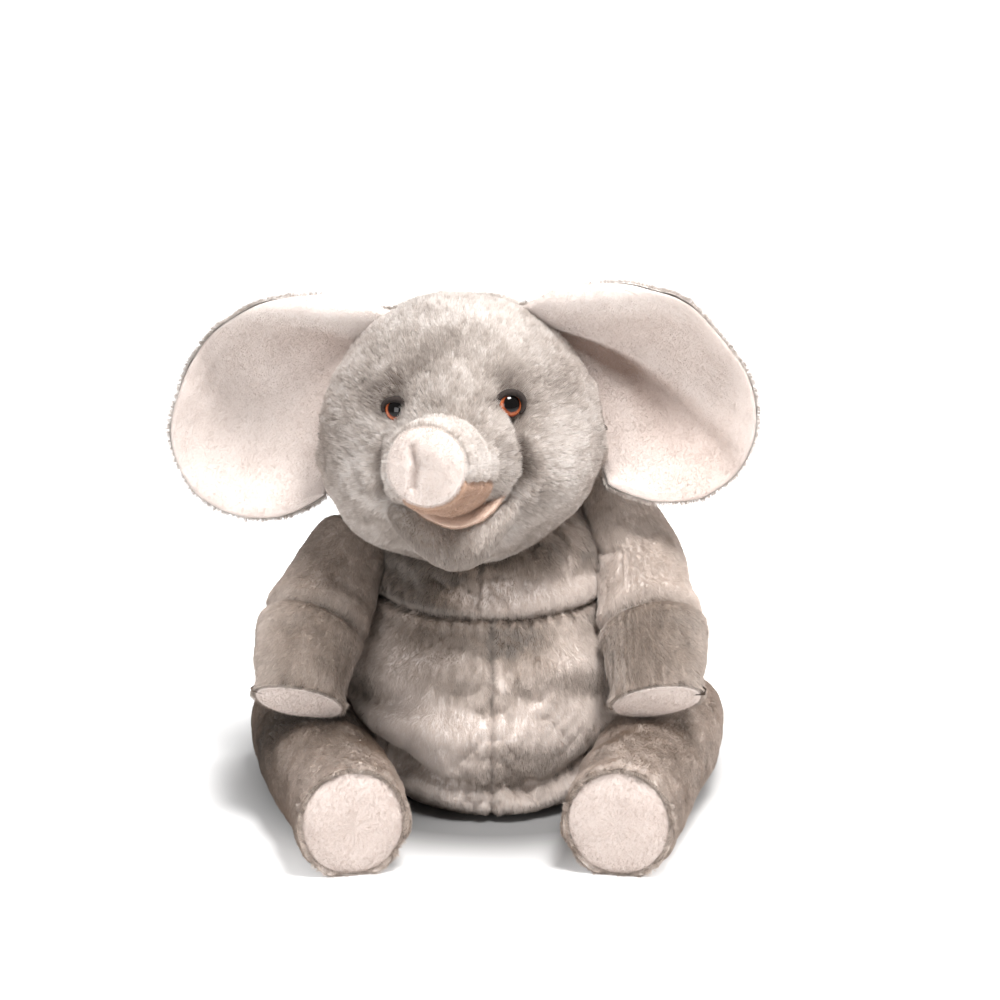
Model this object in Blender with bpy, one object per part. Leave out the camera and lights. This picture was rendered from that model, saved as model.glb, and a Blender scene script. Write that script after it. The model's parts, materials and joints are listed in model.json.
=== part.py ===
"""A seated plush elephant, built as it is sewn: cut panels, stuffing, safety eyes and a bean bag.

Metres, +Z up. The origin is the middle of the seat panel on the floor, the elephant faces -Y,
and its own left side is +X. Each moving group hangs from an empty that sits on its joint's axis.
"""

import math

import bmesh
import bpy
from mathutils import Matrix, Vector

MM = 0.001
FABRIC = 2.2 * MM  # plush with its short pile pressed down
GAP = 0.3 * MM  # clearance between neighbouring pieces
TUCK = FABRIC + 1.2 * MM  # how far stuffing sits under the outer surface

# Torso, from the floor up: height, half-width, half-depth, middle in Y
TORSO_RINGS = (
    (0.0, 49 * MM, 57 * MM, -4 * MM),
    (6 * MM, 54 * MM, 67 * MM, -4 * MM),
    (22 * MM, 57 * MM, 73 * MM, -4 * MM),
    (45 * MM, 63 * MM, 72 * MM, -3 * MM),
    (66 * MM, 64 * MM, 65 * MM, -1 * MM),
    (88 * MM, 54 * MM, 56 * MM, 1 * MM),
    (105 * MM, 45 * MM, 47 * MM, 3 * MM),
    (115 * MM, 33 * MM, 34 * MM, 3 * MM),
)
WAIST_V = 0.765  # the seam between belly and chest panels, as a share of the torso's rings
BEAN_BAG_TOP = 46 * MM

# Neck: a soft ball at the crossing of the two neck axes
NECK_CENTRE = Vector((-3 * MM, 1 * MM, 120 * MM))
NECK_RADIUS = 26 * MM
NECK_PLAY = 1.2 * MM

# Head, about its own centre
HEAD_CENTRE = Vector((-14 * MM, -24 * MM, 180 * MM))
HEAD_YAW = math.radians(-2.5)
HEAD_ROLL = math.radians(-3)
HEAD_HALF = Vector((62 * MM, 58 * MM, 61 * MM))
CHEEK_SWELL = 0.10
MUZZLE_SWELL = 13 * MM
EYE_X = 25.5 * MM
EYE_Z = 22 * MM
EYE_RADIUS = 6 * MM
EYE_EDGE = 1 * MM  # the dome's straight rim
EYE_BULGE = 5.2 * MM  # the dome's height
SHANK_RADIUS = 2 * MM
SHANK_LENGTH = 11 * MM

# Trunk: a short tube that starts in a ball inside the muzzle
TRUNK_PIVOT = Vector((-1 * MM, -57 * MM, -2 * MM))
TRUNK_BALL = 24 * MM
TRUNK_PLAY = 1.8 * MM
TRUNK_TIP = Vector((-10 * MM, -108 * MM, 10 * MM))
TRUNK_TIP_RADIUS = 20 * MM

# Ears: an outline about the ear's middle, in the head's frame
EAR_MIDDLE = Vector((87 * MM, 6 * MM, 10 * MM))
EAR_REACH = 53 * MM
EAR_LENGTHENING = 7 * MM  # towards the outer low and inner high corners
EAR_TOP_SWELL = 4 * MM
EAR_LAYER_GAP = 1.6 * MM
EAR_ROOT_LOW = math.radians(-18)
EAR_ROOT_HIGH = math.radians(66)
EAR_ROOT_PLAY = 2.0 * MM
FLEECE = 1.8 * MM

# Limbs: the left shoulder, and by side (1 left, -1 right) each arm's run from the neck to the paw
# (centre, half-width, half-height), the hip and the tip of the foot
SHOULDER = Vector((69 * MM, -12 * MM, 101 * MM))
ARM_RUN = {
    1: (
        (Vector((57.5, 3, 130)), 15.5, 15.5),
        (Vector((68, -6, 114)), 19, 19),
        (Vector((73, -26, 98)), 22.5, 19.5),
        (Vector((77, -52, 81)), 23.5, 17.5),
        (Vector((77, -73, 65)), 22.5, 15.5),
    ),
    -1: (
        (Vector((-63, 5, 120)), 15, 15),
        (Vector((-70, -5, 110)), 19, 19.5),
        (Vector((-79, -28, 96)), 22.5, 19.5),
        (Vector((-88, -53, 81)), 23, 17.5),
        (Vector((-90, -74, 65)), 21.5, 15.5),
    ),
}
HIP = {1: Vector((86 * MM, 4 * MM, 25 * MM)), -1: Vector((-91 * MM, 4 * MM, 25 * MM))}
FOOT_END = {1: Vector((57 * MM, -139 * MM, 25 * MM)), -1: Vector((-62 * MM, -139 * MM, 25 * MM))}
TAIL_ROOT = Vector((0.0, 70 * MM, 36 * MM))

PLUSH = (0.33, 0.28, 0.24)
HEAD_PLUSH = (0.47, 0.43, 0.39)
PALE_FLEECE = (0.80, 0.69, 0.64)
LINING = (0.72, 0.57, 0.47)
FILLING = (0.86, 0.86, 0.84)
PELLET_CLOTH = (0.62, 0.60, 0.55)
AMBER = (0.45, 0.13, 0.05)
LID = (0.05, 0.03, 0.025)
WASHER = (0.70, 0.70, 0.66)


# ---------------------------------------------------------------- surfaces

def between(span, share):
    return span[0] + (span[1] - span[0]) * share


def along(rows, share):
    """A smooth (Catmull-Rom) run through evenly spaced rows of numbers or vectors."""
    last = len(rows) - 1
    place = min(max(share, 0.0), 1.0) * last
    k = min(int(place), last - 1)
    t = place - k
    a, b, c, d = (rows[min(max(k + n, 0), last)] for n in (-1, 0, 1, 2))

    def mix(p, q, r, s):
        return q + 0.5 * t * (r - p + t * (2 * p - 5 * q + 4 * r - s + t * (3 * (q - r) + s - p)))

    if isinstance(a, Vector):
        return mix(a, b, c, d)
    return [mix(*values) for values in zip(a, b, c, d)]


def normal_of(surface, u, v):
    """The outward normal, also at a pole, where it is the mean of those around it."""
    step = 1e-3
    low, high = max(v - step, 0.0), min(v + step, 1.0)
    turn = surface(u + step, v) - surface(u - step, v)
    if turn.length > 1e-7:
        return turn.cross(surface(u, high) - surface(u, low)).normalized()
    inside = 0.004 if v < 0.5 else 0.996
    return sum((normal_of(surface, n / 8, inside) for n in range(8)), Vector()).normalized()


def offset(surface, distance):
    return lambda u, v: surface(u, v) + normal_of(surface, u, v) * distance


class Tube:
    """A tube through stations of (centre, half-width, half-height), with a dome at either end."""

    def __init__(self, stations, side, start_dome, end_dome, floor=None):
        self.stations = stations
        self.side = side
        self.domes = start_dome, end_dome
        self.floor = floor

    def progress(self, v):
        """(share of the spine, share of the radius) at v. Each dome takes 0.3 of v."""
        start, end = self.domes
        if v < 0.3:
            angle = v / 0.3 * math.pi / 2
            return start * (1 - math.cos(angle)), math.sin(angle)
        if v > 0.7:
            angle = (1 - v) / 0.3 * math.pi / 2
            return 1 - end * (1 - math.cos(angle)), math.sin(angle)
        return between((start, 1 - end), (v - 0.3) / 0.4), 1.0

    def centre(self, share):
        return along([Vector(station[0]) for station in self.stations], share)

    def __call__(self, u, v):
        share, scale = self.progress(v)
        tangent = (self.centre(share + 0.01) - self.centre(share - 0.01)).normalized()
        up = tangent.cross(self.side).normalized()
        side = up.cross(tangent)
        width, height = along([station[1:] for station in self.stations], share)
        turn = 2 * math.pi * u
        point = self.centre(share) + scale * (
            side * width * math.cos(turn) + up * height * math.sin(turn)
        )
        if self.floor is not None:
            point.z = max(point.z, self.floor)
        return point


def torso(u, v):
    """u turns from +X towards +Y, v rises from the floor."""
    height, width, depth, middle = along(TORSO_RINGS, v)
    turn = 2 * math.pi * u
    return Vector((width * math.cos(turn), middle + depth * math.sin(turn), height))


def head_local(u, v):
    """u turns about X from the face over the crown, v runs from the left side to the right."""
    lean, turn = math.pi * v, 2 * math.pi * u
    x, ring = math.cos(lean), math.sin(lean)
    y, z = -ring * math.cos(turn), ring * math.sin(turn)
    wide = 1 + CHEEK_SWELL * math.exp(-(((z + 0.30) / 0.45) ** 2))
    muzzle = max(0.0, -y) * math.exp(-((x / 0.42) ** 2) - ((z + 0.12) / 0.40) ** 2)
    return Vector((
        x * HEAD_HALF.x * wide,
        y * HEAD_HALF.y - muzzle * MUZZLE_SWELL,
        z * HEAD_HALF.z,
    ))


HEAD_FRAME = (
    Matrix.Translation(HEAD_CENTRE)
    @ Matrix.Rotation(HEAD_YAW, 4, "Z")
    @ Matrix.Rotation(HEAD_ROLL, 4, "Y")
)


def in_head(surface):
    return lambda u, v: HEAD_FRAME @ surface(u, v)


def ear_root(share):
    """A point just off the side of the head, from the low end of the root to the high end."""
    angle = between((EAR_ROOT_LOW, EAR_ROOT_HIGH), share)
    swell = 1 + CHEEK_SWELL * math.exp(-(((math.sin(angle) + 0.30) / 0.45) ** 2))
    reach = 1 + EAR_ROOT_PLAY / HEAD_HALF.x
    return Vector((
        HEAD_HALF.x * swell * reach * math.cos(angle),
        4 * MM,
        HEAD_HALF.z * reach * math.sin(angle),
    ))


def ear_rim(share):
    """The ear's round edge, from below the root, out and over, to above the root."""
    angle = between((math.radians(-116), math.radians(126)), share)
    reach = EAR_REACH + EAR_LENGTHENING * math.cos(2 * (angle + math.radians(48)))
    reach += EAR_TOP_SWELL * math.cos(angle - math.radians(126))
    return EAR_MIDDLE + Vector((reach * math.cos(angle), 0.0, reach * math.sin(angle)))


def ear_sheet(u, v):
    """The left ear's middle surface: u from root to rim, v from low to high. It cups forward."""
    point = ear_root(v).lerp(ear_rim(v), u)
    fold = math.exp(-(((v - 0.86) / 0.13) ** 2)) * math.sin(math.pi * min(1.0, u * 1.1) * 0.62)
    cup = math.sin(math.pi * u) * math.exp(-(((v - 0.45) / 0.30) ** 2))
    point.y += 9 * MM * cup - 13 * MM * fold - 6 * MM * u * u
    return point


# ---------------------------------------------------------------- meshes

def clear_scene():
    for item in list(bpy.data.objects):
        bpy.data.objects.remove(item, do_unlink=True)


def material(name, colour, roughness=0.9):
    made = bpy.data.materials.get(name) or bpy.data.materials.new(name)
    made.use_nodes = True
    shader = made.node_tree.nodes["Principled BSDF"]
    shader.inputs["Base Color"].default_value = (*colour, 1)
    shader.inputs["Roughness"].default_value = roughness
    shader.inputs["Metallic"].default_value = 0.0
    made.diffuse_color = (*colour, 1)
    return made


def pivot(name, place, parent=None, axis_frame=None):
    """An empty on a joint's axis. Its own axes follow axis_frame."""
    empty = bpy.data.objects.new(name, None)
    bpy.context.scene.collection.objects.link(empty)
    empty.empty_display_size = 0.02
    empty.parent = parent
    turned = (axis_frame or Matrix.Identity(4)).to_3x3().to_4x4()
    world = Matrix.Translation(place) @ turned
    empty.matrix_parent_inverse = parent.matrix_world.inverted() if parent else Matrix()
    empty.matrix_basis = world
    bpy.context.view_layer.update()
    return empty


def new_object(name, bm, parent=None, finish=None):
    """An object from a bmesh in world coordinates, hung from its pivot."""
    if parent:
        bmesh.ops.transform(bm, matrix=parent.matrix_world.inverted(), verts=bm.verts)
    mesh = bpy.data.meshes.new(name)
    bm.to_mesh(mesh)
    bm.free()
    mesh.shade_smooth()
    mesh.set_sharp_from_angle(angle=math.radians(45))
    made = bpy.data.objects.new(name, mesh)
    bpy.context.scene.collection.objects.link(made)
    made.parent = parent
    if finish:
        mesh.materials.append(finish)
    return made


def sampled(surface, nu, nv, u_span=(0, 1), v_span=(0, 1), ring=True, loop=False):
    """(bmesh of surface(u, v), each vertex's u and v). ring closes it in u and loop in v.

    A row of one point is a pole.
    """
    bm = bmesh.new()
    places = {}
    columns = nu if ring else nu + 1
    rows = nv if loop else nv + 1
    grid = []
    for j in range(rows):
        row = [(between(u_span, i / nu), between(v_span, j / nv)) for i in range(columns)]
        points = [surface(*place) for place in row]
        if max((point - points[0]).length for point in points) < 1e-6:
            grid.append([bm.verts.new(points[0])] * columns)
        else:
            grid.append([bm.verts.new(point) for point in points])
        places.update(zip(grid[-1], row))
    for j in range(nv):
        for i in range(nu):
            low, high = grid[j], grid[(j + 1) % rows]
            after = (i + 1) % columns
            corners = dict.fromkeys((low[i], low[after], high[after], high[i]))
            if len(corners) > 2:
                bm.faces.new(list(corners))
    return bm, places


def surface_mesh(*args, **options):
    return sampled(*args, **options)[0]


def cloth(surface, *args, thickness=FABRIC, **options):
    """A closed sheet: the surface, its copy one thickness inside it, and walls round its edges."""
    bm, places = sampled(surface, *args, **options)
    outer, rim = bm.faces[:], [edge for edge in bm.edges if edge.is_boundary]
    inner = {
        vert: bm.verts.new(surface(*place) - normal_of(surface, *place) * thickness)
        for vert, place in places.items()
    }
    for face in outer:
        bm.faces.new([inner[vert] for vert in reversed(face.verts)])
    for edge in rim:
        one, other = edge.verts
        bm.faces.new((one, other, inner[other], inner[one]))
    bmesh.ops.recalc_face_normals(bm, faces=bm.faces)
    return bm


def close_ends(bm):
    """Flat faces over the open ends of a tube."""
    open_edges = [edge for edge in bm.edges if edge.is_boundary]
    bmesh.ops.holes_fill(bm, edges=open_edges, sides=0)
    bmesh.ops.recalc_face_normals(bm, faces=bm.faces)
    return bm


def cutter(name, bm, parent=None):
    made = new_object(name, bm, parent)
    made.hide_render = True
    made.display_type = "WIRE"
    return made


def cut(made, *tools):
    for tool in tools:
        step = made.modifiers.new("cut " + tool.name, "BOOLEAN")
        step.operation = "DIFFERENCE"
        step.solver = "EXACT"
        step.object = tool


def ball(centre, radius, nu=16, nv=10):
    def surface(u, v):
        lean, turn = math.pi * (1 - v), 2 * math.pi * u
        ring = radius * math.sin(lean)
        return centre + Vector((ring * math.cos(turn), ring * math.sin(turn), radius * math.cos(lean)))

    return surface_mesh(surface, nu, nv)


def turned(profile, frame, sides=20, loop=False):
    """A shape turned about frame's Z from (radius, height) points, lowest height first."""
    steps = len(profile) if loop else len(profile) - 1

    def surface(u, v):
        radius, height = profile[round(v * steps) % len(profile)]
        turn = 2 * math.pi * u
        return frame @ Vector((radius * math.cos(turn), radius * math.sin(turn), height))

    bm = surface_mesh(surface, sides, steps, loop=loop)
    bmesh.ops.recalc_face_normals(bm, faces=bm.faces)
    return bm


# ---------------------------------------------------------------- torso

def build_torso(plush, filling, pellet_cloth):
    side = GAP / (2 * math.pi * 70 * MM)  # half a seam gap, as a share of a turn
    rise = 0.0012  # the same along the rings
    belly, chest = (0.0, WAIST_V - rise), (WAIST_V + rise, 1.0)
    spans = {
        "belly_panel_right": ((0.5 + side, 0.75 - side), belly, 6, 6),
        "belly_panel_left": ((0.75 + side, 1.0 - side), belly, 6, 6),
        "chest_panel_right": ((0.5 + side, 0.75 - side), chest, 6, 3),
        "chest_panel_left": ((0.75 + side, 1.0 - side), chest, 6, 3),
        "back_panel": ((side, 0.5 - side), (0.0, 1.0), 12, 9),
    }
    socket = cutter("neck_socket_tool", ball(NECK_CENTRE, NECK_RADIUS + NECK_PLAY))
    for name, (u_span, v_span, nu, nv) in spans.items():
        new_object(name, cloth(torso, nu, nv, u_span, v_span, ring=False), None, plush)
    build_seat(plush)
    build_bean_bag(pellet_cloth)
    above_bag = next(n / 200 for n in range(200) if torso(0, n / 200).z > BEAN_BAG_TOP + 2 * MM)
    stuffing = close_ends(surface_mesh(offset(torso, -TUCK), 24, 7, v_span=(above_bag, 0.985)))
    cut(new_object("body_stuffing", stuffing, None, filling), socket)


def build_seat(plush):
    """The flat seat panel, inside the foot of the torso's side panels."""
    def disc(u, v):
        rim = torso(u, 0.0)
        return Vector((rim.x * 0.95 * v, rim.y * 0.945 * v, 0.0))

    new_object("seat_panel", cloth(disc, 24, 1, thickness=2 * MM), None, plush)


def build_bean_bag(pellet_cloth):
    """A flat bag of pellets that weighs the seat down."""
    def bag(u, v):
        lean, turn = math.pi * (1 - v), 2 * math.pi * u
        bulge = math.sin(lean) ** 0.55
        height = between((3.2 * MM, BEAN_BAG_TOP), (1 + math.cos(lean)) / 2)
        return Vector((48 * MM * bulge * math.cos(turn), 56 * MM * bulge * math.sin(turn), height))

    new_object("bean_bag", surface_mesh(bag, 16, 7), None, pellet_cloth)


def build_tail(plush):
    spot = TAIL_ROOT
    across = Vector((1, 0, 0))
    root = pivot("tail_pivot", spot)
    stations = [
        (spot + Vector((0, 2.5 * MM, 0)), 6 * MM, 6 * MM),
        (spot + Vector((0, 12 * MM, -7 * MM)), 5.5 * MM, 5.5 * MM),
        (spot + Vector((1 * MM, 18 * MM, -17 * MM)), 5 * MM, 5 * MM),
    ]
    tail = Tube(stations, across, 0.2, 0.2)
    new_object("tail_cover", surface_mesh(tail, 8, 7), root, plush)
    tip = spot + Vector((1.5 * MM, 20.5 * MM, -23.5 * MM))
    hairs = [
        (tip, 4 * MM, 4 * MM),
        (tip + Vector((0, 1 * MM, -4 * MM)), 6.5 * MM, 5.5 * MM),
        (tip + Vector((0, 1 * MM, -9 * MM)), 3.5 * MM, 3 * MM),
    ]
    tuft = Tube(hairs, across, 0.3, 0.3)
    new_object("tail_tuft", surface_mesh(tuft, 8, 6), root, plush)


# ---------------------------------------------------------------- head

def surface_point(x, z):
    """Where a line along the head's Y meets the face at this x and z, and the normal there."""
    best = min(
        ((i / 240, j / 240) for i in range(-60, 61) for j in range(20, 221)),
        key=lambda uv: (head_local(*uv).x - x) ** 2 + (head_local(*uv).z - z) ** 2,
    )
    return head_local(*best), normal_of(head_local, *best)


def build_head(neck, finishes):
    plush, filling = finishes["head"], finishes["filling"]
    head = pivot("head_pivot", NECK_CENTRE, neck, Matrix.Rotation(HEAD_YAW, 4, "Z"))
    surface = in_head(head_local)
    neck_tool = cutter("head_socket_tool", ball(NECK_CENTRE, NECK_RADIUS + NECK_PLAY))
    trunk_tool = cutter("trunk_socket_tool", ball(HEAD_FRAME @ TRUNK_PIVOT, TRUNK_BALL + TRUNK_PLAY))
    half = GAP / (2 * math.pi * HEAD_HALF.z)
    crown, throat = 0.27, 0.74  # the ear-to-ear seam, over the head and under it
    poles = (0.03, 0.97)  # the covers stop short of the poles, under the ears
    front = cloth(surface, 13, 14, (throat - 1 + half, crown - half), poles, ring=False)
    back = cloth(surface, 11, 14, (crown + half, throat - half), poles, ring=False)
    face = new_object("head_front_cover", front, head, plush)
    nape = new_object("head_back_cover", back, head, plush)
    stuffing = surface_mesh(offset(surface, -TUCK), 24, 14)
    stuffing = new_object("head_stuffing", stuffing, head, filling)
    for side, label in ((1, "left"), (-1, "right")):
        hole, pocket = build_eye(side, label, head, finishes)
        cut(face, hole)
        cut(stuffing, pocket)
    cut(face, trunk_tool, neck_tool)
    cut(nape, neck_tool)
    cut(stuffing, trunk_tool, neck_tool)
    build_jaw(head, finishes, trunk_tool)
    return head


def eye_frame(side):
    """Z points out of the head at the eye, Y points up the face."""
    place, outward = surface_point(side * EYE_X, EYE_Z)
    across = Vector((0, 0, 1)).cross(outward).normalized()
    up = outward.cross(across)
    turned_to = Matrix((across, up, outward)).transposed().to_4x4()
    return HEAD_FRAME @ Matrix.Translation(place) @ turned_to


def build_eye(side, label, head, finishes):
    frame = eye_frame(side)
    rise = 0.5 * MM
    shank = [(0, -SHANK_LENGTH), (SHANK_RADIUS, -SHANK_LENGTH), (SHANK_RADIUS, rise)]
    dome = [(EYE_RADIUS, rise)]
    for n in range(4):
        lean = n * math.pi / 8
        height = rise + EYE_EDGE + (EYE_BULGE - EYE_EDGE) * math.sin(lean)
        dome.append((EYE_RADIUS * math.cos(lean), height))
    profile = shank + dome + [(0, rise + EYE_BULGE)]
    new_object("eye_" + label, turned(profile, frame, 12), head, finishes["amber"])
    top, low = -FABRIC - 1.2 * MM, -FABRIC - 2.8 * MM
    ring = [(SHANK_RADIUS + GAP, low), (8 * MM, low), (8 * MM, top), (SHANK_RADIUS + GAP, top)]
    new_object("eye_washer_" + label, turned(ring, frame, 12, loop=True), head, finishes["washer"])
    build_eyelid(label, frame, head, finishes["lid"])
    bore = [(0, -FABRIC - 3 * MM), (2.6 * MM, -FABRIC - 3 * MM), (2.6 * MM, 3 * MM), (0, 3 * MM)]
    well = [(0, -15 * MM), (9 * MM, -15 * MM), (9 * MM, 4 * MM), (0, 4 * MM)]
    hole = cutter("eye_hole_tool_" + label, turned(bore, frame, 10), head)
    pocket = cutter("eye_pocket_tool_" + label, turned(well, frame, 10), head)
    return hole, pocket


def build_eyelid(label, frame, head, finish):
    """A dark cord sewn round the upper half of the eye."""
    reach, cord = EYE_RADIUS + 1.7 * MM, 1.2 * MM
    stations = []
    for n in range(7):
        angle = math.radians(between((-5, 185), n / 6))
        spot = Vector((reach * math.cos(angle), reach * math.sin(angle), 2.3 * MM))
        stations.append((frame @ spot, cord, cord))
    side = (frame.to_3x3() @ Vector((0, 0, 1))).normalized()
    bm = surface_mesh(Tube(stations, side, 0.06, 0.06), 6, 10)
    bmesh.ops.recalc_face_normals(bm, faces=bm.faces)
    new_object("eyelid_" + label, bm, head, finish)


def jaw_tube(half_height, lift, forward):
    """A crescent under the trunk, from one corner of the smile to the other."""
    spots = ((-37, -40, -9), (-26, -52, -23), (-2, -60, -35), (22, -53, -22), (33, -42, -7))
    radii = (0.55, 0.9, 1.15, 0.9, 0.55)
    stations = [
        (
            HEAD_FRAME @ (Vector(spot) * MM + Vector((0, -forward, lift))),
            13 * MM * size,
            half_height * size,
        )
        for spot, size in zip(spots, radii)
    ]
    bm = surface_mesh(Tube(stations, Vector((0, 1, 0.3)), 0.1, 0.1), 12, 12)
    bmesh.ops.recalc_face_normals(bm, faces=bm.faces)
    return bm


def build_jaw(head, finishes, trunk_tool):
    """The chin cushion with its pale lip lining on top, both in front of the face panel."""
    swell = offset(in_head(head_local), 1.2 * MM)
    face_tool = cutter("face_tool", surface_mesh(swell, 28, 18), head)
    chin_tool = cutter("chin_tool", jaw_tube(8.8 * MM, 0.0, 0.0), head)
    chin = new_object("chin_cover", jaw_tube(7.5 * MM, 0.0, 0.0), head, finishes["head"])
    lining = new_object("mouth_lining", jaw_tube(5 * MM, 7 * MM, -2 * MM), head, finishes["lining"])
    cut(chin, face_tool, trunk_tool)
    cut(lining, face_tool, chin_tool, trunk_tool)


def build_trunk(head, finishes):
    """Sleeve, pale tip, pale underside and filling, all turning about the ball in the muzzle."""
    start, tip = HEAD_FRAME @ TRUNK_PIVOT, HEAD_FRAME @ TRUNK_TIP
    trunk = pivot("trunk_pivot", start, head, HEAD_FRAME)
    back = (start - tip).normalized() * TRUNK_BALL
    stations = [
        (start + back, TRUNK_BALL, TRUNK_BALL),
        (start, TRUNK_BALL, TRUNK_BALL),
        (start.lerp(tip, 0.5), 21 * MM, 21 * MM),
        (tip, TRUNK_TIP_RADIUS, TRUNK_TIP_RADIUS),
    ]
    tube = Tube(stations, Vector((1, 0, 0)), 1 / 3, 0.12)
    under = 0.11  # half the underside strip, as a share of a turn
    middle = 0.25 if tube(0.25, 0.5).z < tube(0.75, 0.5).z else 0.75
    half = GAP / (2 * math.pi * TRUNK_BALL)
    edge_v = (0.30, 0.775)
    ends = (middle + under + half, middle + 1 - under - half)
    new_object("trunk_cover", cloth(tube, 12, 5, ends, edge_v, ring=False), trunk, finishes["head"])
    strip = (middle - under + half, middle + under - half)
    under_mesh = cloth(tube, 4, 5, strip, edge_v, ring=False)
    new_object("trunk_underside", under_mesh, trunk, finishes["pale"])
    new_object("trunk_tip", cloth(tube, 16, 4, v_span=(0.785, 1.0)), trunk, finishes["pale"])
    new_object("trunk_stuffing", surface_mesh(offset(tube, -TUCK), 16, 9), trunk, finishes["filling"])


def build_ear(side, label, head, finishes):
    low, high = ear_root(0.08), ear_root(0.92)
    middle = (low + high) / 2
    for point in (low, high, middle):
        point.x *= side
    rise = (high - low).normalized()
    across = Vector((0, -1, 0)).cross(rise)
    frame = Matrix((across, Vector((0, -1, 0)), rise)).transposed().to_4x4()
    ear = pivot(f"ear_{label}_pivot", HEAD_FRAME @ middle, head, HEAD_FRAME @ frame)
    layers = (
        ("inner", EAR_LAYER_GAP / 2 + FLEECE, FLEECE, finishes["pale"]),
        ("outer", -EAR_LAYER_GAP / 2, FABRIC, finishes["head"]),
    )
    for name, height, thickness, finish in layers:
        def layer(u, v):
            point = offset(ear_sheet, height)(u if side > 0 else 1 - u, v)
            point.x *= side
            return HEAD_FRAME @ point

        sheet = cloth(layer, 6, 11, ring=False, thickness=thickness)
        new_object(f"ear_{label}_{name}", sheet, ear, finish)


# ---------------------------------------------------------------- limbs

def build_arm(side, label, finishes):
    shoulder = Vector((side * SHOULDER.x, SHOULDER.y, SHOULDER.z))
    arm = pivot(f"arm_{label}_pivot", shoulder)
    stations = [[value * MM for value in station] for station in ARM_RUN[side]]
    tube = Tube(stations, Vector((1, 0, 0)), 0.16, 0.05)
    elbow, cuff = 0.545, 0.745
    seam = 0.014
    upper = cloth(tube, 12, 6, v_span=(0.0, elbow - seam))
    new_object(f"arm_{label}_upper_sleeve", upper, arm, finishes["plush"])
    half = GAP / (2 * math.pi * 20 * MM)
    for name, span in (("front", (0.5 + half, 1.0 - half)), ("back", (half, 0.5 - half))):
        half_sleeve = cloth(tube, 6, 3, span, (elbow + seam, cuff - seam), ring=False)
        new_object(f"arm_{label}_lower_{name}", half_sleeve, arm, finishes["plush"])
    pad = cloth(tube, 12, 3, v_span=(cuff + seam, 1.0))
    new_object(f"paw_pad_{label}", pad, arm, finishes["pale"])
    filling = surface_mesh(offset(tube, -TUCK - 1 * MM), 12, 9)
    new_object(f"arm_{label}_stuffing", filling, arm, finishes["filling"])


def build_leg(side, label, finishes):
    hip, foot = HIP[side], FOOT_END[side]
    leg = pivot(f"leg_{label}_pivot", hip)
    stations = [
        (hip + Vector((0, 24 * MM, 0)), 23 * MM, 23 * MM),
        (hip + Vector((0, -10 * MM, 0)), 26 * MM, 25.5 * MM),
        (hip.lerp(foot, 0.42) + Vector((side * 3 * MM, 0, 0)), 26 * MM, 25 * MM),
        (hip.lerp(foot, 0.75), 25.5 * MM, 26 * MM),
        (foot, 25 * MM, 26.5 * MM),
    ]
    tube = Tube(stations, Vector((1, 0, 0)), 0.22, 0.045, floor=0.0)
    cuff, seam = 0.785, 0.003
    cover = cloth(tube, 16, 9, v_span=(0.0, cuff - seam))
    new_object(f"leg_{label}_cover", cover, leg, finishes["plush"])
    pad = cloth(tube, 16, 3, v_span=(cuff + seam, 1.0))
    new_object(f"foot_pad_{label}", pad, leg, finishes["pale"])
    filling = surface_mesh(offset(tube, -TUCK - 1 * MM), 16, 9)
    new_object(f"leg_{label}_stuffing", filling, leg, finishes["filling"])


def build_elephant():
    clear_scene()
    finishes = {
        "plush": material("body plush", PLUSH),
        "head": material("head plush", HEAD_PLUSH),
        "pale": material("pale fleece", PALE_FLEECE),
        "lining": material("mouth fleece", LINING),
        "filling": material("fibre filling", FILLING),
        "amber": material("eye plastic", AMBER, 0.08),
        "lid": material("eyelid cord", LID, 0.6),
        "washer": material("washer plastic", WASHER, 0.5),
    }
    build_torso(finishes["plush"], finishes["filling"], material("pellet cloth", PELLET_CLOTH))
    build_tail(finishes["plush"])
    neck = pivot("neck_pivot", NECK_CENTRE)
    new_object("neck_stuffing", ball(NECK_CENTRE, NECK_RADIUS), neck, finishes["plush"])
    head = build_head(neck, finishes)
    build_trunk(head, finishes)
    for side, label in ((1, "left"), (-1, "right")):
        build_ear(side, label, head, finishes)
        build_arm(side, label, finishes)
        build_leg(side, label, finishes)


build_elephant()
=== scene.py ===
"""A seated plush elephant: cloth-simulated soft panels with sewn seams, combed pile and glossy eyes.

Lengths are millimetres in the helpers and metres in Blender. The elephant faces -Y and its own
left side is +X. Each soft form is a grid of points; its panels are cut from that one grid, so
that neighbouring panels meet in a sewn groove.
"""

import json
import math

import bpy
import numpy as np
from mathutils import Matrix, Vector, kdtree

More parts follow.
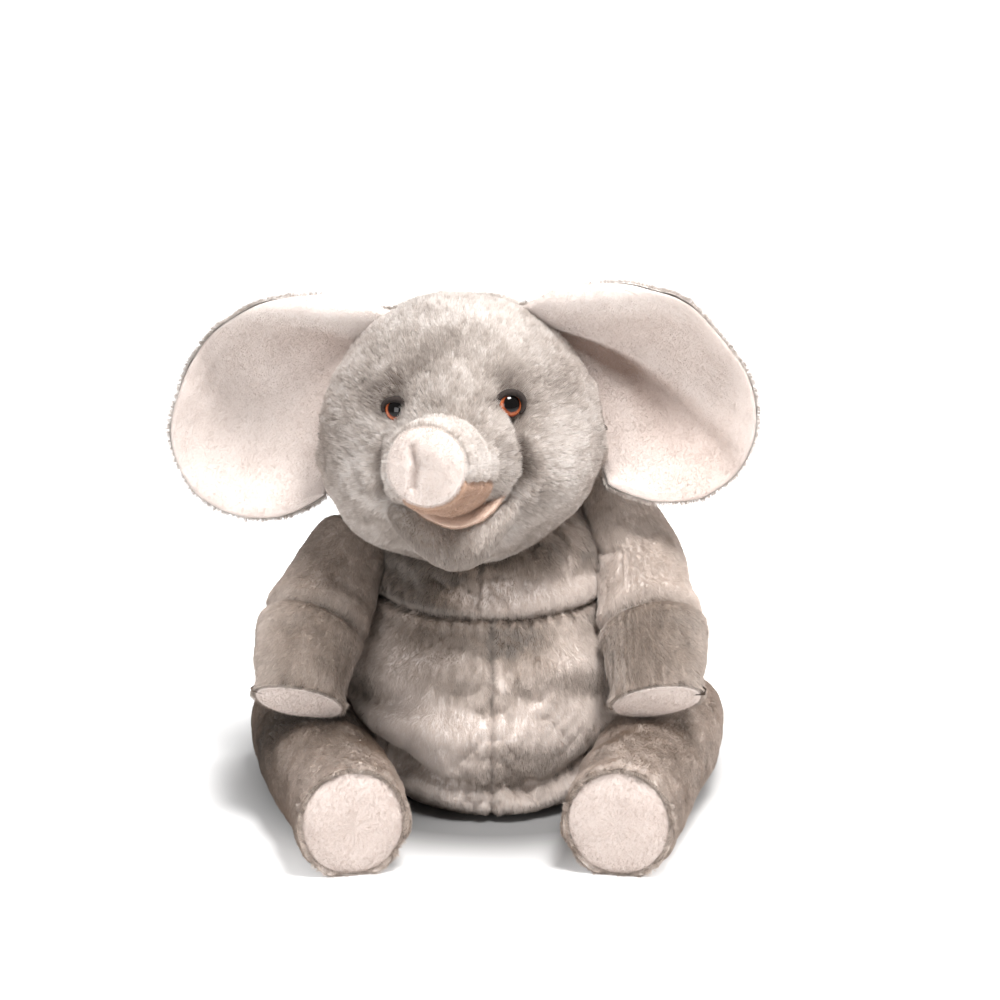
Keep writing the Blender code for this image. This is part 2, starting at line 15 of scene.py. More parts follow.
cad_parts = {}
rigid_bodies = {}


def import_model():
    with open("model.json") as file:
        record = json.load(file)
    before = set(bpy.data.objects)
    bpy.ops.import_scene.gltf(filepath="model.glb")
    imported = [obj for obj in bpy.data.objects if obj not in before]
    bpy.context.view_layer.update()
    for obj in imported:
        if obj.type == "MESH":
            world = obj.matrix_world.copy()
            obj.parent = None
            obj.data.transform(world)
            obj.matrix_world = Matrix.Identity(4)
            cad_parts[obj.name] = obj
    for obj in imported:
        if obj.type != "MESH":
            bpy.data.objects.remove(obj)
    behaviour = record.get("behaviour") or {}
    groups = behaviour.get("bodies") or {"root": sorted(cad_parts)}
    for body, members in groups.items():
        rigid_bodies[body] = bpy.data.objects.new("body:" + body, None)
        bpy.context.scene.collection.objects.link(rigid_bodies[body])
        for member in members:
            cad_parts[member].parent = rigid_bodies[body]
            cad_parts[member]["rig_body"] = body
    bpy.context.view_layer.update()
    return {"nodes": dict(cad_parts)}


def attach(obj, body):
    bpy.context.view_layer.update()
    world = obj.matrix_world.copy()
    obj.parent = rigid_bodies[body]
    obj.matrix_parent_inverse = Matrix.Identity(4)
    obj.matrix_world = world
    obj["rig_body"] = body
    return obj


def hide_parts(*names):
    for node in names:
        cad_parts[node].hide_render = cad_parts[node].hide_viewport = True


MM = 0.001
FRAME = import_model()

# ---------------------------------------------------------------- the frame's shapes, in mm

TORSO_RINGS = np.array((
    (0.0, 49, 57, -4),
    (6, 54, 67, -4),
    (22, 57, 73, -4),
    (45, 65, 72, -3),
    (66, 66.5, 65, -1),
    (88, 58, 57, 1),
    (106, 53, 50, 3),
    (121, 50, 43, 5),
    (134, 38, 33, 6),
), float)
WAIST_V, NAPE_V = 0.667, 1.14
HEAD_CENTRE = np.array((-14.0, -24, 180))
HEAD_YAW, HEAD_ROLL = math.radians(-2.5), math.radians(-3)
HEAD_HALF = np.array((62.0, 58, 61))
TRUNK_PIVOT = np.array((-1.0, -57, -2))
TRUNK_TIP = np.array((-10.0, -108, 10))
EAR_MIDDLE = np.array((87.0, 6, 10))
ARM_RUN = {
    1: (
        ((51, 13, 149), 14.5, 15.5), ((68, -5, 115), 19.5, 19), ((73, -26, 98), 22.5, 19.5),
        ((77, -54, 80.5), 23.5, 16.5), ((77, -79, 60.5), 21.5, 12),
    ),
    -1: (
        ((-63, 5, 120), 15, 15), ((-70, -5, 110), 19, 19.5), ((-79, -28, 96), 22.5, 19.5),
        ((-88, -55, 80.5), 23, 16.5), ((-90, -80, 60.5), 21, 12),
    ),
}
HIP = {1: np.array((86.0, 4, 25)), -1: np.array((-91.0, 4, 25))}
FOOT_END = {1: np.array((57.0, -139, 25)), -1: np.array((-62.0, -139, 25))}
TAIL_ROOT = np.array((0.0, 70, 36))

HEAD_FRAME = Matrix.Rotation(HEAD_YAW, 3, "Z") @ Matrix.Rotation(HEAD_ROLL, 3, "Y")
HEAD_TURN = np.array(HEAD_FRAME)


def in_head(points):
    return points @ HEAD_TURN.T + HEAD_CENTRE


def to_head(points):
    return (points - HEAD_CENTRE) @ HEAD_TURN


def vec(*parts):
    return np.stack(np.broadcast_arrays(*parts), axis=-1).astype(float)


def unit(vectors):
    length = np.linalg.norm(vectors, axis=-1, keepdims=True)
    return vectors / np.maximum(length, 1e-9)


def along(rows, share):
    """A smooth (Catmull-Rom) run through evenly spaced rows."""
    rows = np.asarray(rows, float)
    last = len(rows) - 1
    place = np.clip(share, 0, 1) * last
    k = np.minimum(place.astype(int), last - 1)
    t = (place - k)[..., None]
    a, b, c, d = (rows[np.clip(k + n, 0, last)] for n in (-1, 0, 1, 2))
    return b + 0.5 * t * (c - a + t * (2 * a - 5 * b + 4 * c - d + t * (3 * (b - c) + d - a)))


def torso(u, v):
    """The shoulders rise into a cup that the head rests in; past v = 1 they close round the neck."""
    height, width, depth, middle = np.moveaxis(along(TORSO_RINGS, v), -1, 0)
    over = np.clip((v - 1) / (NAPE_V - 1), 0, 1) * np.pi / 2
    shut = 0.5 + 0.5 * np.cos(over)
    width, depth, height = width * shut, depth * shut, height + 7 * np.sin(over)
    turn = 2 * np.pi * u
    right = np.maximum(0, -np.cos(turn)) * np.exp(-(((height - 54) / 22) ** 2))
    points = vec(width * np.cos(turn) - 4 * right, middle + depth * np.sin(turn), height)
    local = to_head(points)
    inside = np.linalg.norm(local / (HEAD_HALF * (1.04, 1.02, 1.0) + 1.5), axis=-1)
    sunk = np.maximum(0, 1 - inside)
    points[..., 2] -= sunk * 61
    return points


def head(u, v):
    """u turns about X from the face over the crown, v runs from the left side to the right."""
    lean, turn = np.pi * v, 2 * np.pi * u
    x, ring = np.cos(lean), np.sin(lean)
    y, z = -ring * np.cos(turn), ring * np.sin(turn)
    wide = 1 + 0.10 * np.exp(-(((z + 0.30) / 0.45) ** 2))
    muzzle = np.maximum(0, -y) * np.exp(-((x / 0.42) ** 2) - ((z + 0.12) / 0.40) ** 2)
    local = vec(x * HEAD_HALF[0] * wide, y * HEAD_HALF[1] - muzzle * 13, z * HEAD_HALF[2])
    return in_head(local)


def tube(stations, side, start_dome, end_dome, floor=None):
    """A tube through stations of (centre, half-width, half-height), a dome at either end."""
    centres = np.array([station[0] for station in stations], float)
    sizes = np.array([station[1:] for station in stations], float)
    side = np.array(side, float)

    def surface(u, v):
        start = v < 0.3
        end = v > 0.7
        first = np.clip(v / 0.3, 0, 1) * np.pi / 2
        last = np.clip((1 - v) / 0.3, 0, 1) * np.pi / 2
        share = start_dome + (1 - end_dome - start_dome) * (v - 0.3) / 0.4
        share = np.where(start, start_dome * (1 - np.cos(first)), share)
        share = np.where(end, 1 - end_dome * (1 - np.cos(last)), share)
        scale = np.where(start, np.sin(first), np.where(end, np.sin(last), 1.0))
        tangent = unit(along(centres, share + 0.01) - along(centres, share - 0.01))
        up = unit(np.cross(tangent, side))
        across = np.cross(up, tangent)
        width, height = np.moveaxis(along(sizes, share), -1, 0)
        turn = 2 * np.pi * u
        ring = across * (width * np.cos(turn))[..., None] + up * (height * np.sin(turn))[..., None]
        points = along(centres, share) + scale[..., None] * ring
        if floor is not None:
            points[..., 2] = np.maximum(points[..., 2], floor)
        return points

    return surface


def ear_sheet(side):
    """An ear's middle surface in the head's frame: u from root to rim, v from low to high."""
    def surface(u, v):
        rooted = np.radians(-18 + 84 * v)
        swell = 1 + 0.10 * np.exp(-(((np.sin(rooted) + 0.30) / 0.45) ** 2))
        root = vec(61 * swell * np.cos(rooted), 4.0, 60.5 * np.sin(rooted))
        turned = np.radians(-116 + 242 * v)
        reach = 53 + 7 * np.cos(2 * (turned + np.radians(48))) + 4 * np.cos(turned - np.radians(126))
        rim = EAR_MIDDLE + vec(reach * np.cos(turned), 0.0, reach * np.sin(turned))
        points = root + (rim - root) * u[..., None]
        fold = np.exp(-(((v - 0.86) / 0.13) ** 2)) * np.sin(np.pi * np.minimum(1, u * 1.1) * 0.62)
        cup = np.sin(np.pi * u) * np.exp(-(((v - 0.45) / 0.30) ** 2))
        points[..., 1] += 15 * cup - 19 * fold - 6 * u * u
        points[..., 0] *= side
        return points

    return surface


# ---------------------------------------------------------------- noise and distance

TABLE = np.random.default_rng(11).random(8192) * 2 - 1


def noise(points, size, seed=0):
    """Smooth noise from -1 to 1 whose lumps are about size across."""
    place = np.asarray(points, float) / size + 17.3 * (seed + 1)
    cell = np.floor(place).astype(np.int64)
    t = place - cell
    t = t * t * (3 - 2 * t)
    total = 0.0
    for corner in np.ndindex(2, 2, 2):
        x, y, z = np.moveaxis(cell + corner, -1, 0)
        key = (x * 73856093) ^ (y * 19349663) ^ (z * 83492791) ^ (seed * 2654435761)
        weight = np.prod(np.where(corner, t, 1 - t), axis=-1)
        total = total + weight * TABLE[key & 8191]
    return total


def near(points, line):
    """(distance to a polyline, share along it of the nearest point)."""
    line = np.array(line, float)
    best = np.full(points.shape[:-1], 1e9)
    share = np.zeros(points.shape[:-1])
    for n, (a, b) in enumerate(zip(line[:-1], line[1:])):
        t = np.clip(((points - a) @ (b - a)) / ((b - a) @ (b - a)), 0, 1)
        apart = np.linalg.norm(points - a - t[..., None] * (b - a), axis=-1)
        closer = apart < best
        best = np.where(closer, apart, best)
        share = np.where(closer, (n + t) / (len(line) - 1), share)
    return best, share


def bell(distance, width):
    return np.exp(-((distance / width) ** 2))


def blob(points, spot, width):
    return bell(np.linalg.norm(points - spot, axis=-1), width)


def groove(apart, depth, width, lip, lip_at, lip_width):
    """A seam's valley and the lips that its stitches raise on either side."""
    return -depth * bell(apart, width) + lip * bell(np.abs(apart) - lip_at, lip_width)


def crease(points, line, depth, width, fade=0.15):
    """A sewn or folded valley along a line, shallower at its ends."""
    apart, share = near(points, line)
    ends = np.clip(np.minimum(share, 1 - share) / fade + 0.25, 0, 1)
    return -depth * bell(apart, width) * ends + 0.22 * depth * bell(apart - 2.1 * width, width) * ends


# ---------------------------------------------------------------- grids

def weights(fine, count, ring):
    """Catmull-Rom weights that read a row of count samples at each fine share."""
    place = np.asarray(fine, float) * (count if ring else count - 1)
    k = np.floor(place).astype(int)
    if not ring:
        k = np.minimum(k, count - 2)
    t = place - k
    parts = (
        -0.5 * t + t**2 - 0.5 * t**3,
        1 - 2.5 * t**2 + 1.5 * t**3,
        0.5 * t + 2 * t**2 - 1.5 * t**3,
        -0.5 * t**2 + 0.5 * t**3,
    )
    made = np.zeros((len(place), count))
    for n, part in enumerate(parts):
        at = k + n - 1
        at = at % count if ring else np.clip(at, 0, count - 1)
        np.add.at(made, (np.arange(len(place)), at), part)
    return made


class Form:
    """A soft form as a grid over u (columns) and v (rows). ring closes it in u."""

    def __init__(self, surface, nu, nv, ring=True, v_span=(0.0, 1.0)):
        self.ring = ring
        self.us = np.arange(nu) / nu if ring else np.linspace(0, 1, nu + 1)
        self.vs = np.linspace(*v_span, nv + 1)
        self.u, self.v = np.meshgrid(self.us, self.vs)
        self.points = surface(self.u, self.v)
        self.sign = 1.0
        middle = self.points.mean(axis=(0, 1))
        if ring and np.sum((self.points - middle) * self.normals()) < 0:
            self.sign = -1.0

    def steps(self, field):
        """How a field changes per column and per row."""
        if self.ring:
            across = (np.roll(field, -1, 1) - np.roll(field, 1, 1)) / 2
        else:
            across = np.gradient(field, axis=1)
        return across, np.gradient(field, axis=0)

    def normals(self):
        across, rise = self.steps(self.points)
        made = unit(np.cross(across, rise))
        if self.ring:
            for row, inner in ((0, 2), (-1, -3)):
                if is_point(self.points[row]):
                    made[row] = unit(made[inner].mean(axis=0))
        return made * self.sign

    def uphill(self, field):
        """The direction on the surface in which a field grows fastest."""
        pu, pv = self.steps(self.points)
        fu, fv = self.steps(field)
        e, f, g = (pu * pu).sum(-1), (pu * pv).sum(-1), (pv * pv).sum(-1)
        made = (fu * g - fv * f)[..., None] * pu + (fv * e - fu * f)[..., None] * pv
        return unit(made)

    def push(self, height):
        self.points = self.points + self.normals() * np.asarray(height)[..., None]

    def smooth_end(self, rows):
        """Fills a closed end with a smooth disc, where the grid is too fine to carry relief."""
        ring = self.points[-1 - rows]
        centre = ring.mean(axis=0)
        share = np.linspace(1, 0, rows + 1)[:, None, None]
        self.points[-1 - rows:] = centre + (ring - centre) * share

    def run_along(self):
        """Length in mm along each column."""
        step = np.linalg.norm(np.diff(self.points, axis=0), axis=-1)
        return np.vstack([np.zeros((1, step.shape[1])), np.cumsum(step, axis=0)])


# ---------------------------------------------------------------- cloth

SETTLE_FRAMES = 20
CLOTH_SETTINGS = {
    "quality": 6,
    "mass": 0.25,
    "tension_stiffness": 12,
    "compression_stiffness": 12,
    "shear_stiffness": 4,
    "bending_stiffness": 0.15,
    "air_damping": 3,
    "use_pressure": True,
    "uniform_pressure_force": 4.0,
    "vertex_group_mass": "pin",
}
CLOTHS = []


def link(name, data):
    """A new object in the scene."""
    made = bpy.data.objects.new(name, data)
    bpy.context.scene.collection.objects.link(made)
    return made


def dress(made, body, node):
    """Puts a piece on its body, in place of the frame's node."""
    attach(made, body)
    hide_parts(node)


def is_point(row):
    """Whether a grid's row has closed up into one point."""
    return np.ptp(row, axis=0).max() < 0.05


def grid_faces(numbers, flip=False):
    """The faces between a grid's rows and columns of vertex numbers."""
    corners = np.stack([numbers[:-1, :-1], numbers[:-1, 1:], numbers[1:, 1:], numbers[1:, :-1]], -1)
    if flip:
        corners = corners[..., ::-1]
    faces = [tuple(dict.fromkeys(face)) for face in corners.reshape(-1, 4).tolist()]
    return [face for face in faces if len(face) > 2]


def round_again(numbers):
    """A ring's grid with its first column repeated after its last."""
    return np.hstack([numbers, numbers[:, :1]])


def mesh_of(name, points, faces):
    """A mesh from points in mm."""
    mesh = bpy.data.meshes.new(name)
    mesh.from_pydata((points * MM).tolist(), [], faces)
    mesh.update()
    return mesh


def closed_mesh(name, points):
    """A mesh of a ring grid, closed over each end, and each grid point's vertex number."""
    rows, columns = points.shape[:2]
    numbers = np.arange(rows * columns).reshape(rows, columns)
    for row in (0, -1):
        if is_point(points[row]):
            numbers[row] = numbers[row, 0]
    used, index = np.unique(numbers, return_inverse=True)
    index = index.reshape(rows, columns)
    faces = grid_faces(round_again(index))
    faces += [tuple(index[row].tolist()) for row in (0, -1) if not is_point(points[row])]
    return mesh_of(name, points.reshape(-1, 3)[used], faces), index


def inflate(name, surface, nu, nv, pins, cap, grow):
    """Puts a coarse copy of a form down for the cloth simulation that settle_cloth runs.

    cap is how far a point may move, in mm, and grow is the share by which the cloth is cut large.
    """
    u, v = np.meshgrid(np.arange(nu) / nu, np.linspace(0, 1, nv + 1))
    points = surface(u, v)
    mesh, index = closed_mesh(name, points)
    made = link(name, mesh)
    group = made.vertex_groups.new(name="pin")
    hold = np.clip(pins(u, v), 0, 1)
    hold[0], hold[-1] = 1.0, 1.0
    for at, weight in zip(index.ravel(), hold.ravel()):
        if weight > 0.01:
            group.add([int(at)], float(weight), "REPLACE")
    cloth = made.modifiers.new("cloth", "CLOTH")
    for key, value in CLOTH_SETTINGS.items():
        setattr(cloth.settings, key, value)
    cloth.settings.shrink_min = -grow
    cloth.settings.effector_weights.gravity = 0
    cloth.collision_settings.use_collision = False
    cloth.collision_settings.use_self_collision = False
    cloth.point_cache.frame_start = 1
    cloth.point_cache.frame_end = SETTLE_FRAMES
    CLOTHS.append((name, made, index, points, cap))


def settle_cloth():
    """Runs every cloth together and gives each form's movement as a coarse grid."""
    moved = {}
    scene = bpy.context.scene
    for frame in range(1, SETTLE_FRAMES + 1):
        scene.frame_set(frame)
    graph = bpy.context.evaluated_depsgraph_get()
    for name, made, index, points, cap in CLOTHS:
        shift = np.zeros_like(points)
        mesh = made.evaluated_get(graph).to_mesh()
        flat = np.empty(len(mesh.vertices) * 3, np.float32)
        mesh.vertices.foreach_get("co", flat)
        shift = flat.reshape(-1, 3)[index] / MM - points
        length = np.linalg.norm(shift, axis=-1, keepdims=True)
        shift *= np.minimum(1, cap / np.maximum(length, 1e-9))
        moved[name] = shift
    for name, made, *_ in CLOTHS:
        bpy.data.objects.remove(made, do_unlink=True)
    scene.frame_set(1)
    return moved


def relax(form, shift):
    """Moves a form's fine grid as its coarse cloth moved."""
    rows, columns = shift.shape[:2]
    by_u = weights(form.us, columns, True)
    by_v = weights(np.clip(form.vs, 0, 1), rows, False)
    form.points = form.points + np.einsum("jb,ia,bac->jic", by_v, by_u, shift)


# ---------------------------------------------------------------- materials

def srgb(*values):
    values = [v / 255 for v in values]
    return [v / 12.92 if v < 0.04045 else ((v + 0.055) / 1.055) ** 2.4 for v in values] + [1.0]


class Weave:
    """A node tree as it is built: each call adds a node, feeds its inputs and gives an output."""

    def __init__(self, owner):
        owner.use_nodes = True
        self.nodes, self.links = owner.node_tree.nodes, owner.node_tree.links

    def feed(self, node, inputs):
        """Wires an input to another node's output, or sets it to a value."""
        for slot, value in inputs.items():
            if isinstance(value, bpy.types.NodeSocket):
                self.links.new(value, node.inputs[slot])
            else:
                node.inputs[slot].default_value = value

    def add(self, kind, inputs, output=0, **settings):
        node = self.nodes.new("ShaderNode" + kind)
        for key, value in settings.items():
            setattr(node, key, value)
        self.feed(node, inputs)
        return node.outputs[output]

    def math(self, operation, *values, clamp=False):
        return self.add("Math", dict(enumerate(values)), operation=operation, use_clamp=clamp)

    def read(self, attribute, output):
        return self.add("Attribute", {}, output, attribute_name=attribute)

    def grain(self, place, scale, detail, roughness=0.5):
        inputs = {"Vector": place, "Scale": scale, "Detail": detail, "Roughness": roughness}
        return self.add("TexNoise", inputs, "Fac")

    def spread(self, value, low, high):
        return self.add("MapRange", {"Value": value, "To Min": low, "To Max": high}, "Result")

    def bump(self, height, strength, distance):
        inputs = {"Height": height, "Strength": strength, "Distance": distance}
        return self.add("Bump", inputs, "Normal")

    def ramp(self, value, stops):
        node = self.nodes.new("ShaderNodeValToRGB")
        while len(node.color_ramp.elements) < len(stops):
            node.color_ramp.elements.new(0.5)
        for element, (place, colour) in zip(node.color_ramp.elements, stops):
            element.position, element.color = place, colour
        self.links.new(value, node.inputs["Fac"])
        return node.outputs["Color"]


def material(name):
    """A new material, its node tree and its main shader."""
    made = bpy.data.materials.new(name)
    weave = Weave(made)
    return made, weave, weave.nodes["Principled BSDF"]


def pile(name, stops, roughness=0.85, sheen=0.5, grain=900.0, depth=0.5):
    """Plush or fleece cloth: its colour follows the tone attribute and a fine grain."""
    made, weave, shader = material(name)
    fibre = weave.grain(weave.read("flow", "Vector"), grain, 4, 0.65)
    spread = weave.math("MULTIPLY_ADD", fibre, 0.36, -0.18)
    shade = weave.math("ADD", weave.read("tone", "Fac"), spread, clamp=True)
    weave.feed(shader, {
        "Base Color": weave.ramp(shade, stops),
        "Roughness": weave.spread(shade, roughness, roughness - 0.15),
        "Normal": weave.bump(fibre, depth, 0.0006),
        "Sheen Weight": sheen,
        "Sheen Roughness": 0.4,
        "Specular IOR Level": 0.3,
    })
    return made


def strand(name, stops, roughness, gloss):
    """Fibre: a soft body colour that lightens to the tip as a painted highlight where the light catches it,
    with a satin reflection along it.
    """
    made, weave, shader = material(name)
    info = weave.nodes.new("ShaderNodeHairInfo").outputs
    scatter = weave.math("MULTIPLY_ADD", info["Random"], 0.26, weave.read("tone", "Fac"))
    # painted highlight: each strand's colour lightens from root to tip
    tip = weave.math("MULTIPLY_ADD", info["Intercept"], 0.16, scatter, clamp=True)
    shade = weave.math("SUBTRACT", tip, 0.21, clamp=True)
    body = weave.add("BsdfDiffuse", {"Color": weave.ramp(shade, stops)})
    shine = weave.add("BsdfHair", {
        "RoughnessU": roughness, "RoughnessV": 1.0, "Offset": 0.0, "Color": srgb(236, 226, 218),
    }, component="Reflection")
    mix = weave.add("MixShader", {"Fac": gloss, 1: body, 2: shine})
    weave.feed(weave.nodes["Material Output"], {"Surface": mix})
    weave.nodes.remove(shader)
    return made


def eye_material():
    """Amber iris with fine rays round a wide black pupil, under a clear coat."""
    made, weave, shader = material("amber_eye")
    place = weave.read("ring", "Vector")
    from_middle = weave.add("SeparateXYZ", {0: place}, "X")
    rays = weave.grain(place, 3.0, 3)
    weave.feed(shader, {
        "Base Color": weave.ramp(weave.math("MULTIPLY_ADD", rays, 0.06, from_middle), (
            (0.0, srgb(8, 6, 6)),
            (0.64, srgb(10, 7, 6)),
            (0.70, srgb(132, 60, 32)),
            (0.84, srgb(206, 118, 76)),
            (0.97, srgb(140, 58, 34)),
            (1.0, srgb(50, 24, 18)),
        )),
        "Roughness": weave.spread(rays, 0.05, 0.12),
        "Coat Weight": 1.0,
        "Coat Roughness": 0.03,
        "Coat IOR": 1.3,
        "Specular IOR Level": 0.15,
    })
    return made


def grained(name, dark, light, scale, roughness, distance):
    """A plain material with a fine noise in colour, roughness and bump."""
    made, weave, shader = material(name)
    grain = weave.grain(weave.add("TexCoord", {}, "Object"), scale, 5)
    weave.feed(shader, {
        "Base Color": weave.ramp(grain, ((0.3, dark), (0.7, light))),
        "Roughness": weave.spread(grain, roughness - 0.08, roughness + 0.08),
        "Normal": weave.bump(grain, 0.5, distance),
    })
    return made


GREY = (
    (0.0, srgb(62, 51, 43)), (0.35, srgb(150, 136, 125)),
    (0.7, srgb(205, 194, 186)), (1.0, srgb(248, 242, 238)),
)
FACE = (
    (0.0, srgb(116, 104, 96)), (0.35, srgb(172, 163, 156)),
    (0.7, srgb(216, 211, 207)), (1.0, srgb(248, 248, 247)),
)
PINK = ((0.0, srgb(158, 136, 125)), (0.5, srgb(217, 204, 197)), (1.0, srgb(248, 242, 238)))
# painted shade: a darker, warmer copy of the pale fleece's colours, for the pale fleece under the trunk and
# inside the mouth, where shade falls
SHADED_PINK = ((0.0, srgb(140, 106, 84)), (0.5, srgb(182, 150, 128)), (1.0, srgb(222, 198, 182)))

CLOTH = {
    "body": pile("body_plush_cloth", GREY),
    "face": pile("head_plush_cloth", FACE),
    "pink": pile("pale_fleece_cloth", PINK, 0.95, 0.35, 1500.0, 0.35),
    "shaded_pink": pile("mouth_fleece_cloth", SHADED_PINK, 0.95, 0.35, 1500.0, 0.35),
}
FIBRE = {
    "body": strand("body_plush_pile", GREY, 0.26, 0.5),
    "face": strand("head_plush_pile", FACE, 0.34, 0.4),
    "pink": strand("pale_fleece_pile", PINK, 0.6, 0.12),
    "shaded_pink": strand("mouth_fleece_pile", SHADED_PINK, 0.6, 0.12),
}

# Pile, by kind of cloth: strands per square mm, length, thickness, lean from upright, clumping,
# and how far a strand strays from the comb in radians
PILE = {
    "body": (8.5, 2.7, 0.050, 66, 0.22, 0.10),
    "face": (6.5, 3.4, 0.056, 62, 0.42, 0.16),
    "pink": (8.0, 1.2, 0.056, 30, 0.12, 2.6),
    "shaded_pink": (8.0, 1.3, 0.056, 30, 0.12, 2.6),
}

TAPER = np.array([1.0, 0.9, 0.65, 0.2])  # a strand's thickness at each of its knots
CLUMP = 22  # strands that share one clump


# ---------------------------------------------------------------- panels and pile

def columns_of(form, span):
    """Column numbers from one u to another, going past 1 on a ring."""
    count = len(form.us)
    if not form.ring:
        return np.arange(round(span[0] * (count - 1)), round(span[1] * (count - 1)) + 1)
    if span[1] - span[0] >= 1:
        return np.arange(count + 1) % count
    return np.arange(round(span[0] * count), round(span[1] * count) + 1) % count


def rows_of(form, span):
    low, high = form.vs[0], form.vs[-1]
    first, last = (round((v - low) / (high - low) * (len(form.vs) - 1)) for v in span)
    return np.arange(first, last + 1)


def panel(name, form, body, kind, node, u_span=(0, 1), v_span=(0, 1), hem=3.0, fur=1.0):
    """Cuts a panel from a form's grid, turns its raw edges in, and gives it its pile."""
    at = np.ix_(rows_of(form, v_span), columns_of(form, u_span))
    points, normals = form.points[at], form.normals()[at]
    tone, flow, comb = form.tone[at], form.flow[at], form.comb[at]
    full_ring = form.ring and u_span[1] - u_span[0] >= 1
    open_low, open_high = not is_point(points[0]), not is_point(points[-1])

    def hemmed(field, sink):
        """One more row or column round the panel, sunk under its edge."""
        low, high = [field[:1] - sink[:1]] * open_low, [field[-1:] - sink[-1:]] * open_high
        made = np.concatenate(low + [field] + high, axis=0)
        if full_ring:
            return made
        edge = np.concatenate([sink[:1]] * open_low + [sink] + [sink[-1:]] * open_high)
        return np.concatenate([made[:, :1] - edge[:, :1], made, made[:, -1:] - edge[:, -1:]], axis=1)

    grid = hemmed(points, normals * hem)
    shade = hemmed(tone[..., None], np.full(tone.shape + (1,), 0.25))
    run = hemmed(flow, np.zeros_like(flow))
    rows, columns = grid.shape[:2]
    numbers = np.arange(rows * columns).reshape(rows, columns)
    if full_ring:
        numbers[:, -1] = numbers[:, 0]
    for row in (0, -1):
        if is_point(grid[row]):
            numbers[row] = numbers[row, 0]
    used, fresh = np.unique(numbers, return_inverse=True)
    faces = grid_faces(fresh.reshape(rows, columns), form.sign < 0)
    mesh = mesh_of(name, grid.reshape(-1, 3)[used], faces)
    mesh.shade_smooth()
    mark(mesh, "tone", "POINT", shade.reshape(-1)[used])
    mark(mesh, "flow", "POINT", run.reshape(-1, 3)[used] * MM)
    mesh.materials.append(CLOTH[kind])
    made = link(name, mesh)
    dress(made, body, node)
    if fur:
        grow_pile(name + "_pile", made, kind, points, normals, comb, tone, fur)


def mark(data, name, domain, values):
    """Writes numbers or vectors on a mesh's points, or a hair's points or strands."""
    vectors = values.ndim == 2
    made = data.attributes.new(name, "FLOAT_VECTOR" if vectors else "FLOAT", domain)
    made.data.foreach_set("vector" if vectors else "value", values.astype(np.float32).ravel())


def grow_pile(name, holder, kind, points, normals, comb, tone, size):
    """Strands rooted evenly over a patch, combed along it, clumped and a little unruly."""
    density, length, thickness, lean, clumping, stray = PILE[kind]
    length *= size
    rng = np.random.default_rng(sum(map(ord, name)))
    a, b = points[:-1, :-1], points[:-1, 1:]
    c, d = points[1:, 1:], points[1:, :-1]
    area = np.linalg.norm(np.cross(c - a, d - b), axis=-1) / 2
    count = int(area.sum() * density)
    cell = rng.choice(area.size, count, p=area.ravel() / area.sum())
    row, column = np.divmod(cell, area.shape[1])
    s, t = rng.random(count)[:, None], rng.random(count)[:, None]

    def read(field):
        field = field if field.ndim == 3 else field[..., None]
        top = field[row, column] * (1 - s) + field[row, column + 1] * s
        low = field[row + 1, column] * (1 - s) + field[row + 1, column + 1] * s
        return top * (1 - t) + low * t

    root, outward = read(points), unit(read(normals))
    lie = read(comb)
    lie = unit(lie - outward * (lie * outward).sum(-1, keepdims=True))
    across = np.cross(outward, lie)
    shade = read(tone)[:, 0]
    sway = noise(root, 16.0, 3) * 0.22 + rng.normal(0, stray, count)
    lie = lie * np.cos(sway)[:, None] + across * np.sin(sway)[:, None]
    tilt = np.radians(lean) + 0.10 * noise(root, 10.0, 5) + rng.normal(0, 0.06, count)
    reach = length * (0.72 + 0.5 * rng.random(count)) * (1 + 0.15 * noise(root, 6.0, 7))
    knots = len(TAPER)
    strands = np.zeros((count, knots, 3))
    spot = root - outward * 0.4
    strands[:, 0] = spot
    for k in range(1, knots):
        bend = tilt * (0.55 + 0.55 * k / (knots - 1))
        step = outward * np.cos(bend)[:, None] + lie * np.sin(bend)[:, None]
        spot = spot + step * (reach / (knots - 1))[:, None]
        strands[:, k] = spot
    leaders = rng.choice(count, max(1, count // CLUMP), replace=False)
    find = kdtree.KDTree(len(leaders))
    for n, leader in enumerate(leaders):
        find.insert(root[leader], n)
    find.balance()
    nearest = leaders[np.array([find.find(place)[1] for place in root.tolist()])]
    shade = shade + (0.02 + 0.26 * clumping) * rng.normal(0, 1, count)[nearest]
    pull = clumping * (np.arange(knots) / (knots - 1)) ** 1.3
    pull = pull[None, :, None] * (0.6 + 0.4 * rng.random(count))[:, None, None]
    strands += (strands[nearest] - strands) * pull
    strands[:, :, 2] = np.maximum(strands[:, :, 2], 0.25)
    curves = bpy.data.hair_curves.new(name)
    curves.add_curves([knots] * count)
    curves.attributes["position"].data.foreach_set("vector", (strands * MM).astype(np.float32).ravel())
    mark(curves, "radius", "POINT", np.tile(TAPER * thickness * MM, count))
    mark(curves, "tone", "CURVE", shade)
    curves.materials.append(FIBRE[kind])
    link(name, curves).parent = holder


def smoothed(form, reach):
    """The form's normals averaged over reach rows and columns either way."""
    made = form.normals()
    for axis in (0, 1):
        mode = "wrap" if form.ring and axis == 1 else "edge"
        pad = [(reach, reach) if n == axis else (0, 0) for n in range(3)]
        run = np.cumsum(np.pad(made, pad, mode=mode), axis=axis)
        count = made.shape[axis]
        high = np.take(run, np.arange(2 * reach, 2 * reach + count), axis=axis)
        low = np.take(run, np.arange(count), axis=axis)
        made = (high - low) / (2 * reach)
    return made


